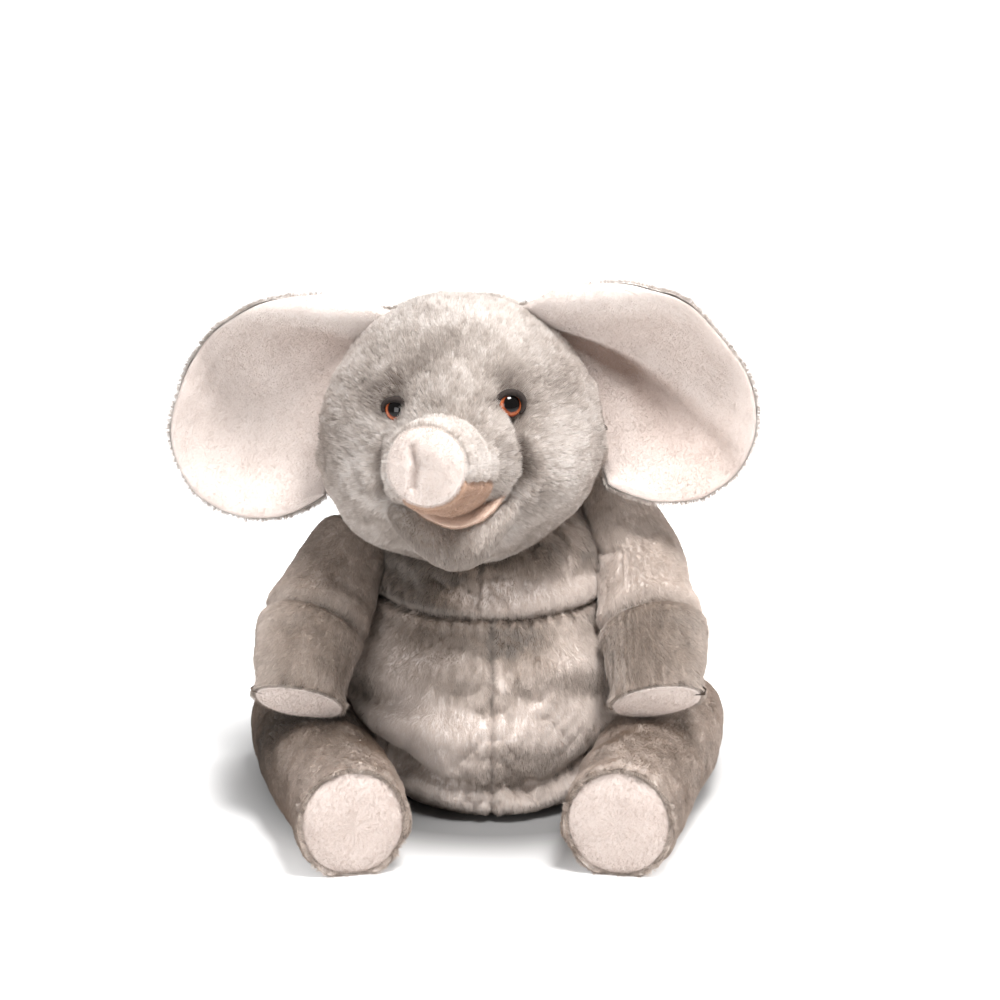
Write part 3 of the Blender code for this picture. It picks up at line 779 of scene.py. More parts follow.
def finish_form(form, along_field, across_field, base, lumps=1.0, fleece=None, shine=0.75):
    """Sets the comb, the pile's clumps as relief, and the tone left after the features, over which shine
    paints a sheen and shade that follow the folds.

    Where fleece is 1 the pile stands up in small curls instead of lying in streaks.
    """
    fleece = np.zeros_like(base) if fleece is None else fleece
    form.comb = form.uphill(along_field)
    lying = vec(across_field, along_field / 5.0, np.zeros_like(across_field))
    form.flow = lying * (1 - fleece[..., None]) + form.points * fleece[..., None]
    streak = vec(across_field / 1.1, along_field / 5.0, noise(form.points, 25, 2) * 2)
    tuft = noise(streak, 1.0, 1) * 0.15 + noise(streak * 0.45, 1.0, 4) * 0.16
    curl = noise(form.points, 1.9, 9) * 0.08 + noise(form.points, 3.8, 10) * 0.08
    form.push((tuft * (1 - fleece) + curl * fleece) * lumps)
    mottle_and_sheen = 0.07 * noise(form.points, 22, 6) + 0.05 * noise(streak * 0.5, 1.0, 8) * (1 - fleece)
    mottle_and_sheen += 0.05 * noise(form.points, 6, 11)
    # painted sheen and shade: the satin nap is painted light where a fold tilts it to the sky and dark
    # where it tilts away
    tilt = smoothed(form, 2)[..., 2] - smoothed(form, 16)[..., 2]
    fringe = np.rint(2.5 * noise(streak * 0.8, 1.0, 13)).astype(int)
    rows = np.clip(np.arange(len(tilt))[:, None] + fringe, 0, len(tilt) - 1)
    satin = np.take_along_axis(tilt, rows, axis=0) * shine * (1 + 0.8 * noise(form.points, 15, 14))
    mottle_and_sheen = mottle_and_sheen + np.clip(satin, -0.22, 0.28) * (1 - fleece)
    # the tone is also a little lighter on raised tufts and darker between them, a painted shade
    form.tone = np.clip(base + mottle_and_sheen * (1 - 0.45 * fleece) + 0.05 * tuft * (1 - fleece), 0, 1)


# ---------------------------------------------------------------- torso

BELLY_CREASES = (
    (((-60, -12, 76), (-50, -35, 79), (-38, -46, 76)), 2.2, 2.6),
    (((-60, -20, 66), (-52, -42, 63), (-40, -55, 62)), 1.8, 2.4),
    (((58, -22, 62), (50, -45, 58), (42, -55, 57)), 1.4, 2.6),
)
CHEST_FOLD = ((-45, -20, 112), (-20, -38, 109), (8, -40, 108), (44, -18, 113))
BELLY_SEAM_U, CHEST_SEAM_U = 0.75, 0.735
# Painted sheen and shade on the belly, lighter where the pile catches the light and darker where it loses
# it: x, z, width and the change in tone
SHEEN_AND_SHADE_PATCHES = (
    (-35, 81, 15, -0.24), (15, 80, 16, -0.50), (-40, 60, 18, 0.54), (20, 56, 24, 0.24),
    (-27, 31, 19, 0.62),
)


def build_torso(shift):
    form = Form(torso, 340, 126, v_span=(0.0, NAPE_V))
    relax(form, shift)
    x, y, z = np.moveaxis(form.points, -1, 0)
    u, v = form.u, form.v
    front = np.clip(-y / 30, 0, 1)
    height = np.zeros_like(x)
    # rolls and folds of the belly, above and below the crease over the seat
    left = 1 / (1 + np.exp((x + 8) / 6))
    wander = noise(form.points, 30, 22)
    height += front * 2.8 * bell(z - 68 - 6 * wander, 8) * (1 - 0.4 * left)
    height -= front * (0.15 + left) * 2.4 * bell(z - 55 - 0.05 * x - 3 * wander, 4.0)
    height += front * 3.4 * bell(z - 43 - 5 * wander, 10) * (0.7 + 0.4 * left)
    sag = 16.5 + 0.006 * x * x + 4 * wander
    deep = 1 + 0.5 * noise(form.points, 16, 23)
    height -= front * 3.6 * deep * bell(z - sag, 4.5)
    height += front * 2.4 * deep * bell(z - sag + 9, 4.5)
    for line, depth, width in BELLY_CREASES:
        height += crease(form.points, line, depth, width)
    # chest: a roll over the waist seam, and the fold that droops under the chin
    chest = v > WAIST_V
    height += front * 2.4 * bell(z - 101, 5) * chest
    height += crease(form.points, CHEST_FOLD, 2.6, 2.8)
    # sewn seams
    waist = (v - WAIST_V) * 150
    seam = groove(waist, 2.6, 1.5, 0.9, 3.4, 2.0)
    centre_u = np.where(chest, CHEST_SEAM_U, BELLY_SEAM_U)
    depth = np.where(chest, 1.3, 2.6)
    for place, deep in ((centre_u, depth), (0.0, 1.8), (0.5, 1.8), (1.0, 1.8)):
        apart = (u - place) * 380
        seam = seam + groove(apart, deep, 1.5, 0.35 * deep, 3.6, 2.2)
    pucker = 1 + 0.35 * noise(vec(u * 380, z, 0.0), 7.0, 12)
    height += seam * pucker * np.clip(z / 8, 0, 1)
    height += 0.9 * noise(form.points, 17, 21) * np.clip(z / 15, 0, 1)
    form.push(height)
    form.points[..., 2] = np.maximum(form.points[..., 2], 0.3)
    # a little lighter round the middle of the belly; painted shade under the chest roll, in the crease over
    # the seat and in every hollow of the relief, which is lighter on its rises
    base = 0.50 + 0.05 * bell(z - 45, 25) - 0.10 * bell(z - 86, 8) * front - 0.10 * bell(z - sag, 5) * front
    base += 0.03 * np.clip(height, -3, 3)
    # painted highlight on the chest roll over the waist seam and painted shade under the chin
    base += front * chest * (0.22 * bell(z - 101, 7) - 0.24 * bell(z - 120, 9))
    # painted shadow over the right side of the chest (-X) under the chin, and a painted highlight on its
    # left side
    base -= 0.80 * front * chest / (1 + np.exp((x + 17) / 5))
    base += 0.32 * front * chest * bell(z - 103, 9) / (1 + np.exp((x + 12) / -5))
    # painted sheen and shade patches on the belly
    for at_x, at_z, wide, change in SHEEN_AND_SHADE_PATCHES:
        base += change * front * bell(np.hypot(x - at_x, z - at_z), wide) * (1 - chest)
    # painted shade at the sides of the belly, between it and the arms and legs
    base -= 0.16 * np.clip((np.abs(x) - 38) / 22, 0, 1) * front * (1 - chest)
    finish_form(form, -form.points[..., 2], u * 2 * np.pi * 62, base, shine=1.15)
    for name, u_span, v_span, node in (
        ("belly_right_panel", (0.5, BELLY_SEAM_U), (0.0, WAIST_V), "belly_panel_right"),
        ("belly_left_panel", (BELLY_SEAM_U, 1.0), (0.0, WAIST_V), "belly_panel_left"),
        ("chest_right_panel", (0.5, CHEST_SEAM_U), (WAIST_V, NAPE_V), "chest_panel_right"),
        ("chest_left_panel", (CHEST_SEAM_U, 1.0), (WAIST_V, NAPE_V), "chest_panel_left"),
        ("back_cover", (0.0, 0.5), (0.0, NAPE_V), "back_panel"),
    ):
        panel(name, form, "torso", "body", node, u_span, v_span)


# ---------------------------------------------------------------- head

BRIDGE = ((-17, -72, 215), (-18, -80, 204), (-19, -92, 196))
CREASE_LEFT = ((11, -77, 201), (9, -80, 190), (12, -82, 174), (9, -86, 162))
CREASE_RIGHT = ((-35, -78, 201), (-41, -78, 188), (-47, -76, 174), (-46, -78, 162))
SMILE = ((-56, -70, 167), (-44, -82, 159), (-32, -88, 153), (-12, -92, 146))
FRONT_SEAM_U, BACK_SEAM_U = 0.27, 0.74
# Rises and hollows on both sides of the face, in the head's frame: place, height, width
FACE_BOTH_SIDES = (
    ((40, -46, -16), 6.5, 18),
    ((27, -46, 35), 2.4, 13),
    ((46, -34, 22), -1.6, 13),
    ((25.5, -53, 22), -2.6, 8.5),
    ((30, -55, 9), 1.6, 8),
)
# Lighter and darker places of the face, in the head's frame, among them painted highlights on both cheeks
# and painted shade low on its right cheek: place, change in tone, width
FACE_TONES = (
    ((-42, -40, -10), 0.14, 24),
    ((44, -38, -8), 0.17, 26),
    ((2, -66, 2), 0.06, 16),
    ((-4, -48, 40), -0.30, 22),
    ((-52, -28, -12), -0.16, 16),
    ((-43, -44, 4), 0.14, 11),
    ((47, -36, 6), 0.10, 12),
)


def build_head(shift):
    form = Form(head, 330, 180)
    relax(form, shift)
    p = form.points
    local = to_head(p)
    front = np.clip(-local[..., 1] / 25, 0, 1)
    axis = unit(TRUNK_TIP - TRUNK_PIVOT)
    above = unit(np.cross(np.cross(axis, (0, 0, 1.0)), axis))
    beside = np.cross(above, axis)
    off = local - TRUNK_PIVOT
    off = off - (off @ axis)[..., None] * axis
    rise, aside = off @ above, off @ beside
    round_trunk = np.hypot(aside, np.where(rise > 0, rise * 0.66, rise))
    collar = np.clip((31 - round_trunk) / 12, 0, 1)
    collar = collar * collar * (3 - 2 * collar) * front
    open_below = 1 / (1 + np.exp((rise + 14) / -3))
    shove = 12 * collar * (0.25 + 0.75 * open_below)
    form.points = p + shove[..., None] * (HEAD_TURN @ axis)
    p = form.points
    height = np.zeros(p.shape[:2])
    bridge, _ = near(p, BRIDGE)
    height += front * 3.0 * bell(bridge, 10)
    for side in (1, -1):
        for spot, rise_here, wide in FACE_BOTH_SIDES:
            height += rise_here * blob(local, np.array(spot) * (side, 1, 1), wide)
    height += 6.0 * blob(local, (-43, -26, -38), 19)
    height += front * crease(p, CREASE_LEFT, 6.0, 3.4)
    height += front * crease(p, CREASE_RIGHT, 5.0, 3.4)
    height += front * crease(p, SMILE, 3.6, 3.4, 0.3)
    height += 2.0 * blob(local, (2, -30, -52), 16)
    height += 12.0 * blob(local / (1.3, 1, 1), (-1 / 1.3, -46, -38), 15)
    # the seams where the front and back covers meet, over the crown and under the jaw
    open_to = np.clip(3 * np.sin(np.pi * form.v), 0, 1) ** 2
    for place in (FRONT_SEAM_U, BACK_SEAM_U):
        apart = (form.u - place) * 2 * np.pi * 60
        height += open_to * groove(apart, 1.8, 1.5, 0.5, 3.6, 2.2)
    height += 1.3 * noise(p, 17, 31) + 0.5 * noise(p, 8, 32)
    form.push(height)
    p = form.points
    local = to_head(p)
    forward = unit(TRUNK_PIVOT + np.array((0.0, 0, 4)))
    from_centre = unit(local)
    lean = np.arccos(np.clip(from_centre @ forward, -1, 1))
    turn = np.arctan2(from_centre @ np.array((0.0, 0, 1)), from_centre[..., 0])
    socket = np.minimum(
        np.linalg.norm((local - (28, -50, 33)) / (1, 1, 1.2), axis=-1),
        np.linalg.norm((local - (-28, -50, 33)) / (1, 1, 1.2), axis=-1),
    )
    beside_left = near(p, np.array(CREASE_LEFT) + (8, 2, 0))[0]
    beside_right = near(p, np.array(CREASE_RIGHT) + (-2, 0, 0))[0]
    top = np.clip(local[..., 2] / 61, -1, 1)
    # painted light on the top of the head, where the light falls from above, and painted shade in the
    # hollows of the relief, which is lighter on its rises
    base = 0.35 + 0.26 * np.clip(top, 0, 1) ** 1.5 + 0.04 * np.clip(height, -4, 4)
    # lighter and darker places, with painted highlights and shade on the cheeks
    for spot, change, wide in FACE_TONES:
        base += change * blob(local, spot, wide)
    base += 0.15 * noise(p, 13, 33) + 0.10 * noise(p, 6, 34)
    # painted shade in the eye sockets
    base -= 0.26 * bell(socket, 13) * front
    # painted shade beside the creases that run down from the eyes
    base -= 0.28 * bell(beside_left, 9) * front + 0.16 * bell(beside_right, 6) * front
    # painted shade under the head
    base -= 0.22 * np.clip(-top - 0.2, 0, 1)
    finish_form(form, lean * 60, turn * 45, base, 0.8)
    for name, node, u_span in (
        ("head_front_plush", "head_front_cover", (BACK_SEAM_U - 1, FRONT_SEAM_U)),
        ("head_back_plush", "head_back_cover", (FRONT_SEAM_U, BACK_SEAM_U)),
    ):
        panel(name, form, "head", "face", node, u_span)


def build_jaw():
    """The lower lip and chin, and the pale lining that shows between them and the trunk."""
    chin = (
        ((-31, -43, -18), 5, 3), ((-18, -59, -29), 12, 8), ((0, -64, -38), 15, 10),
        ((16, -59, -28), 11, 7), ((28, -43, -15), 4, 2.5),
    )
    lining = (
        ((-20, -57, -19), 4, 1.6), ((-10, -64, -23), 7, 2.2), ((1, -68, -25), 8, 2.4),
        ((13, -65, -21), 7, 2.2), ((22, -56, -13), 4, 1.6),
    )
    for name, kind, node, run, fur in (
        ("chin_plush", "face", "chin_cover", chin, 0.8),
        # the lining is the pale fleece painted in shade
        ("lip_lining", "shaded_pink", "mouth_lining", lining, 1.0),
    ):
        stations = [(in_head(np.array(spot, float)), wide, high) for spot, wide, high in run]
        form = Form(tube(stations, (0, 1, 0.3), 0.1, 0.1), 90, 110)
        form.push(0.5 * noise(form.points, 9, 41))
        base = np.full(form.u.shape, 0.32 if kind == "face" else 0.96)
        if kind == "face":
            # painted shade on the underside of the chin
            base -= 0.12 * np.clip((form.points.mean(axis=(0, 1))[2] - form.points[..., 2]) / 8, 0, 1)
        finish_form(form, -form.points[..., 2] - form.points[..., 1] * 0.3, form.points[..., 0], base, 0.5)
        panel(name, form, "head", kind, node, fur=fur)


def eye_frames():
    """Each eye's place on the face, and the turn that puts Z out of the head and Y up the face."""
    made = {}
    for side, label in ((1, "left"), (-1, "right")):
        u, v = np.meshgrid(np.linspace(-0.25, 0.25, 241), np.linspace(0.1, 0.9, 321))
        face = head(u, v)
        local = to_head(face)
        off = (local[..., 0] - side * 25.5) ** 2 + (local[..., 2] - 22) ** 2
        row, column = np.unravel_index(np.argmin(off), off.shape)
        place = face[row, column]
        outward = unit(np.cross(
            face[row, column + 2] - face[row, column - 2], face[row + 2, column] - face[row - 2, column],
        ))
        outward = outward * np.sign((place - HEAD_CENTRE) @ outward)
        outward = unit(outward + (0.0, -0.45, 0.0))
        across = unit(np.cross(HEAD_TURN[:, 2], outward))
        made[label] = place, np.stack([across, np.cross(outward, across), outward], axis=1)
    return made


def lathe(name, place, turn, surface, nu, nv):
    """A form in an eye's own frame as a mesh object, with a ring attribute for its pattern."""
    form = Form(surface, nu, nv)
    points = form.points @ turn.T + place
    rows, columns = points.shape[:2]
    numbers = np.arange(rows * columns).reshape(rows, columns)
    mesh = mesh_of(name, points.reshape(-1, 3), grid_faces(round_again(numbers)))
    mesh.shade_smooth()
    flat = form.points.reshape(-1, 3)
    ring_share = np.hypot(flat[:, 0] - 0.5, flat[:, 1] - 0.2) / 6.0
    spin = np.arctan2(flat[:, 1], flat[:, 0])
    marks = np.stack([ring_share, np.cos(spin) * 2.2, np.sin(spin) * 2.2], axis=1)
    mark(mesh, "ring", "POINT", marks)
    return link(name, mesh)


def build_eyes():
    amber = eye_material()
    felt = grained("eyelid_felt", srgb(24, 19, 17), srgb(58, 47, 42), 1500, 0.92, 0.0002)
    for label, (place, turn) in eye_frames().items():
        def dome(u, v):
            lean = np.pi / 2 * np.clip(v * 1.25, 0, 1)
            rim = np.where(v > 0.8, 1 - (v - 0.8) * 1.2, 1.0)
            radius = 6.0 * np.sin(lean) * rim
            height = np.where(v > 0.8, 1.2 - (v - 0.8) * 22, 1.2 + 4.2 * np.cos(lean))
            return vec(radius * np.cos(2 * np.pi * u), radius * np.sin(2 * np.pi * u), height - 1.3)

        eye = lathe("eye_dome_" + label, place, turn, dome, 48, 30)
        eye.data.materials.append(amber)
        dress(eye, "head", "eye_" + label)
        tilt = math.radians(-24 if label == "left" else -10)
        droop = 1.0 if label == "left" else 2.2

        def lid(u, v):
            angle = np.pi * (-0.14 + 1.28 * v) + tilt
            swell = 0.35 + 0.65 * np.sin(np.pi * v) ** 0.6
            fat = 1.6 * swell
            reach = 6.1 + 0.4 * swell
            around = 2 * np.pi * u
            ring = reach + fat * np.cos(around)
            x, y = ring * np.cos(angle), ring * np.sin(angle)
            y = y - droop * np.clip(np.sin(angle), 0, 1)
            return vec(x, y, 1.3 + fat * 1.5 * np.sin(around) + 1.2 * swell)

        cord = lathe("lid_" + label, place, turn, lid, 24, 60)
        cord.data.materials.append(felt)
        dress(cord, "head", "eyelid_" + label)


STRIP, TIP_V = 0.15, 0.78  # half the underside strip's width in u, and where the tip is sewn on


def build_trunk():
    start, tip = in_head(TRUNK_PIVOT), in_head(TRUNK_TIP)
    back = unit(start - tip) * 24
    stations = (
        (start + back, 24, 24), (start, 24, 24), ((start + tip) / 2, 21, 21), (tip, 20, 20),
    )
    form = Form(tube(stations, (1, 0, 0), 1 / 3, 0.12), 150, 110)
    u, v = form.u, form.v
    p = form.points
    axis = unit(tip - start)
    low = 0.25 if p[60, 37, 2] < p[60, 112, 2] else 0.75
    outward = 1 if p[60, int((low + 0.1) * 150), 0] > p[60, int((low - 0.1) * 150), 0] else -1
    low += 0.045 * outward
    round_under = np.abs((u - low + 0.5) % 1 - 0.5)
    height = 0.8 * noise(p, 11, 51) * (v > 0.2)
    # soft rings where the trunk bends, the seam round the tip and the sides of the strip
    height += 0.9 * np.cos((v - 0.42) * 55) * bell(v - 0.52, 0.14)
    height -= 1.5 * bell((v - TIP_V) * 90, 1.6)
    height -= 1.2 * bell((round_under - STRIP) * 130, 1.5) * (v < TIP_V) * (v > 0.25)
    # the tip: a flat disc, a fold beside its nostril and a soft point at the top
    up = unit(np.cross(np.cross(axis, (0, 0, 1.0)), axis))
    side = np.cross(up, axis)
    from_tip = p - tip
    across, rise = from_tip @ side, from_tip @ up
    disc = np.clip((v - 0.80) / 0.12, 0, 1)
    height += disc * 2.6 * bell(np.hypot(across - 3, rise - 10), 8)
    nostril = near(np.stack([across, rise, 0 * across], -1), ((-5, -9, 0), (-4, 0, 0), (-6, 9, 0)))[0]
    height -= disc * 2.6 * bell(nostril, 2.2)
    form.push(height)
    # painted shade in the fold beside the nostril
    base = np.where(v > TIP_V, 0.80, 0.58) - 0.16 * disc * bell(nostril, 2.2)
    length = form.run_along()
    soft = (v > TIP_V) | (round_under < STRIP)
    finish_form(form, -length, u * 2 * np.pi * 21, base, 0.8, soft * 1.0)
    for name, kind, node, u_span, v_span, fur in (
        ("trunk_sleeve", "face", "trunk_cover", (low + STRIP, low + 1 - STRIP), (0.12, TIP_V), 0.8),
        # the strip under the trunk is the pale fleece painted in shade
        ("trunk_strip", "shaded_pink", "trunk_underside", (low - STRIP, low + STRIP), (0.12, TIP_V), 1.0),
        ("trunk_tip_fleece", "pink", "trunk_tip", (0, 1), (TIP_V, 1.0), 1.5),
    ):
        panel(name, form, "trunk", kind, node, u_span, v_span, fur=fur)


def build_ear(side, label):
    surface = ear_sheet(side)

    def layer(sign):
        def made(u, v):
            inside = np.minimum(1 - u, np.minimum(v, 1 - v) * 2.2)
            puff = np.sqrt(np.clip(inside / 0.10, 0, 1))
            p = surface(u, v)
            ripple = 1.8 * noise(p, 26, 61) * u + 0.4 * noise(p, 10, 62) * u
            grid_u, grid_v = np.gradient(p, axis=1), np.gradient(p, axis=0)
            n = unit(np.cross(grid_u, grid_v)) * side
            n *= -np.sign((n[..., 1]).mean())
            thick = (0.5 + 2.6 * puff) if sign > 0 else (0.5 + 2.0 * puff)
            return in_head(p + n * (sign * thick + ripple)[..., None])
        return made

    for sign, kind, name, node in (
        (1, "pink", "fleece", "inner"), (-1, "face", "plush", "outer"),
    ):
        form = Form(layer(sign), 110, 150, ring=False)
        outward = -sign
        if np.sign(form.normals()[..., 1].mean()) != outward:
            form.sign = -1.0
        p = form.points
        # the fleece folds in from the top of the root: a sharp ridge with a soft hollow under it
        ridge = 0.27 + 0.60 * np.exp(-form.u / 0.34) if side > 0 else 0.74 + 0.04 * form.u
        fold = form.v - ridge
        hollow = np.where(fold > 0, bell(fold, 0.045), bell(fold, 0.17))
        height = 0.7 * noise(p, 15, 63) + 0.2 * noise(p, 6, 64)
        height -= sign * (3.0 + 1.5 * side) * hollow * np.clip(4 * form.u * (1 - form.u), 0, 1)
        form.push(height)
        root = bell(form.u, 0.30)
        if kind == "pink":
            # painted shade in the hollow under the fold, deepest near the root of the left ear; with it the
            # fleece is darker near the root and lighter along its top fold, a painted highlight
            deep = 0.75 * bell(form.u, 0.42) + 0.16 if side > 0 else 0.34 * bell(form.u, 0.5)
            if side > 0:
                deep = deep + 0.30 * bell(form.u, 0.20) * bell(form.v - 0.62, 0.20) * (fold < 0)
            base = 0.66 - 0.04 * side - 0.12 * root - deep * hollow
            base += 0.16 * bell(form.v - 0.93, 0.13) + 0.06 * noise(p, 30, 65)
        else:
            # painted shade on the back of the ear near its root, where it meets the head
            base = 0.55 - 0.15 * root
        lengthwise = form.u * 55
        curly = np.full(base.shape, 1.0 if kind == "pink" else 0.0)
        finish_form(form, lengthwise, form.v * 190, base, 1.0, curly)
        panel(f"ear_{label}_{name}", form, "ear_" + label, kind, f"ear_{label}_{node}", hem=0.4,
              fur=0.9 if kind == "pink" else 0.95)


# ---------------------------------------------------------------- limbs

ELBOW, ARM_CUFF, LEG_CUFF = 0.545, 0.745, 0.785
PAW_LIFT = math.radians(18)


def arm_tube(side):
    """The arm turns about its own length towards the paw, which lifts the paw's outer end."""
    straight = tube(ARM_RUN[side], (1, 0, 0), 0.16, 0.05)
    elbow, wrist = (np.array(ARM_RUN[side][n][0], float) for n in (2, 4))
    axis = unit(wrist - elbow)

    def surface(u, v):
        points = straight(u, v)
        roll = PAW_LIFT * side * np.clip((v - 0.42) / 0.25, 0, 1)[..., None]
        off = points - wrist
        turned = off * np.cos(roll) + np.cross(axis, off) * np.sin(roll)
        turned += axis * (off @ axis)[..., None] * (1 - np.cos(roll))
        return wrist + turned

    return surface


def leg_tube(side):
    hip, foot = HIP[side], FOOT_END[side]
    stations = (
        (hip + (0, 24, 0), 23, 23),
        (hip + (0, -10, 0), 26, 25.5),
        (hip + (foot - hip) * 0.42 + (side * 3, 0, 0), 26, 25),
        (hip + (foot - hip) * 0.75, 25.5, 26),
        (foot, 25, 26.5),
    )
    return tube(stations, (1, 0, 0), 0.22, 0.045, floor=0.0)


def build_arm(side, label, shift):
    form = Form(arm_tube(side), 140, 130)
    relax(form, shift)
    u, v, p = form.u, form.v, form.points
    length = form.run_along()
    total = length[-1].mean()
    height = np.zeros_like(u)
    for place, depth, width in ((ELBOW, 2.6, 2.0), (ARM_CUFF, 2.0, 1.8)):
        apart = (v - place) * total * 1.25
        height += groove(apart, depth, width, 0.4 * depth, 5, 3.0)
    sleeve = (v > ELBOW) & (v < ARM_CUFF)
    for place in (0.0, 0.5, 1.0):
        apart = (u - place) * 130
        height += sleeve * groove(apart, 1.6, 1.6, 0.5, 4, 2.4)
    height += 0.9 * noise(p, 15, 71 + side) + 0.3 * noise(p, 7, 73)
    form.push(height)
    # painted light: the left arm (+X), on the side the light comes from, is lighter than the right; painted
    # shade in the hollows of the relief, which is lighter on its rises; both forearms are darker from the
    # elbow down
    base = (0.64 if side > 0 else 0.50) + 0.04 * np.clip(height, -3, 3)
    base -= (0.40 if side > 0 else 0.20) * (v > ELBOW)
    pad = v > ARM_CUFF
    base = np.where(pad, 0.66, base)
    finish_form(form, length, u * 2 * np.pi * 21, base, 1.0, pad * 1.0, 0.35)
    form.smooth_end(9)
    body = "arm_" + label
    panel(f"arm_{label}_upper", form, body, "body", f"arm_{label}_upper_sleeve", v_span=(0.0, ELBOW))
    for half, span in (("front", (0.5, 1.0)), ("back", (0.0, 0.5))):
        panel(f"arm_{label}_{half}", form, body, "body", f"arm_{label}_lower_{half}", span,
              (ELBOW, ARM_CUFF))
    panel(f"paw_{label}_fleece", form, body, "pink", f"paw_pad_{label}", v_span=(ARM_CUFF, 1.0))


def build_leg(side, label, shift):
    form = Form(leg_tube(side), 160, 170)
    relax(form, shift)
    u, v, p = form.u, form.v, form.points
    length = form.run_along()
    total = length[-1].mean()
    apart = (v - LEG_CUFF) * total * 1.1
    height = -1.8 * bell(apart, 1.8) + 0.8 * bell(apart + 4.5, 3.0)
    free = np.clip(p[..., 2] / 6, 0, 1)
    calm = 1 - 0.8 * bell(v - LEG_CUFF, 0.05)
    height += (1.3 * noise(p, 15, 81 + side) + 0.8 * noise(p * (1, 0.6, 1), 8, 83)) * calm
    pad = v > LEG_CUFF
    height = np.where(pad, 0.4 + 0.25 * noise(p, 9, 84) + 1.6 * np.clip((v - LEG_CUFF) / 0.1, 0, 1), height)
    form.push(height * free)
    form.points[..., 2] = np.maximum(form.points[..., 2], 0.3)
    hip_shade = 0.38 * bell(p[..., 1] + 50, 34) * (side < 0)
    # painted shade in the hollows of the relief, which is lighter on its rises
    base = np.where(pad, 0.56, 0.45 - hip_shade + 0.04 * np.clip(height, -3, 3))
    finish_form(form, length, u * 2 * np.pi * 26, base, 1.0, pad * 1.0, 0.35)
    form.smooth_end(10)
    body = "leg_" + label
    panel(f"leg_{label}_plush", form, body, "body", f"leg_{label}_cover", v_span=(0.0, LEG_CUFF))
    panel(f"foot_{label}_fleece", form, body, "pink", f"foot_pad_{label}", v_span=(LEG_CUFF, 1.0))


def build_seat():
    def disc(u, v):
        share = np.clip(np.minimum(v, 1 - v) / 0.42, 0, 1)
        turn = 2 * np.pi * u
        rise = 1.2 + 0.7 * np.clip((0.5 - v) / 0.08, -1, 1)
        return vec(47.5 * share * np.cos(turn), -4 + 55.5 * share * np.sin(turn), rise)

    form = Form(disc, 160, 120)
    finish_form(form, form.points[..., 1], form.points[..., 0], np.full(form.u.shape, 0.42), 0.4)
    form.points[..., 2] = np.clip(form.points[..., 2], 0.2, 2.2)
    panel("seat_plush", form, "torso", "body", "seat_panel", fur=0)


def build_fillings():
    """The fibre fillings and the pellet bag, each drawn in a little from its place and lumpy."""
    fluff = grained("fibre_filling_fluff", srgb(214, 214, 210), srgb(242, 242, 240), 420, 0.95, 0.001)
    cotton = grained("pellet_bag_cotton", srgb(172, 166, 152), srgb(204, 198, 186), 900, 0.9, 0.0006)
    for node, cad in FRAME["nodes"].items():
        bag = node == "bean_bag"
        if not bag and "stuffing" not in node:
            continue
        name = "bean_bag_sewn" if bag else node.replace("_stuffing", "_fill")
        made = link(name, cad.data.copy())
        remesh = made.modifiers.new("remesh", "REMESH")
        remesh.mode = "VOXEL"
        remesh.voxel_size = 0.0025
        graph = bpy.context.evaluated_depsgraph_get()
        made.data = bpy.data.meshes.new_from_object(made.evaluated_get(graph))
        made.modifiers.clear()
        mesh = made.data
        spots = np.empty(len(mesh.vertices) * 3)
        out = np.empty(len(mesh.vertices) * 3)
        mesh.vertices.foreach_get("co", spots)
        mesh.vertices.foreach_get("normal", out)
        spots, out = spots.reshape(-1, 3) / MM, out.reshape(-1, 3)
        lump = -2.2 + 0.7 * noise(spots, 9, 101) + 0.4 * noise(spots, 4.5, 102)
        if node == "head_stuffing":
            lump -= 5.0 * np.clip((spots[:, 2].mean() - spots[:, 2]) / 40, 0, 1)
        mesh.vertices.foreach_set("co", ((spots + out * lump[:, None]) * MM).ravel())
        mesh.update()
        mesh.shade_smooth()
        mesh.materials.clear()
        mesh.materials.append(cotton if bag else fluff)
        dress(made, cad["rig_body"], node)


def build_tail():
    spot = TAIL_ROOT
    across = (1, 0, 0)
    tail = (
        (spot + (0, -1, 1), 6.5, 6.5), (spot + (0, 11, -6), 5.8, 5.8), (spot + (1, 20, -22), 4.6, 4.6),
    )
    tip = spot + (1.2, 19, -19)
    tuft = ((tip, 5.2, 5.2), (tip + (0, 1.5, -7), 7, 6), (tip + (0, 2, -14), 3.5, 3))
    for name, stations, dome, node, size in (
        ("tail_plush", tail, 0.2, "tail_cover", 0.7), ("tail_tuft_plush", tuft, 0.3, "tail_tuft", 1.3),
    ):
        form = Form(tube(stations, across, dome, dome), 60, 60)
        form.push(0.4 * noise(form.points, 5, 91))
        length = form.run_along()
        finish_form(form, length, form.u * 2 * np.pi * 5.5, np.full(form.u.shape, 0.42), 0.7)
        panel(name, form, "tail", "body", node, fur=size)


# ---------------------------------------------------------------- assembly

# Each pins function gives how firmly a form is held while its cloth settles, from 0 to 1

def pins_torso(u, v):
    seams = np.minimum.reduce([np.abs(u - place) for place in (0.0, 0.5, BELLY_SEAM_U, 1.0)])
    return 0.9 * bell(seams, 0.012) + 0.9 * bell(v - WAIST_V, 0.03) + (v < 0.12)


def pins_head(u, v):
    seams = np.minimum(np.abs(u - FRONT_SEAM_U), np.abs(u - BACK_SEAM_U))
    return 0.9 * bell(seams, 0.012) + 0.8 * (np.abs(v - 0.5) > 0.42)


def pins_arm(u, v):
    return 0.9 * bell(v - ELBOW, 0.02) + (v < 0.15) + (v > ARM_CUFF - 0.03)


def pins_leg(u, v):
    return 0.9 * (v > LEG_CUFF - 0.03) + (v < 0.12)


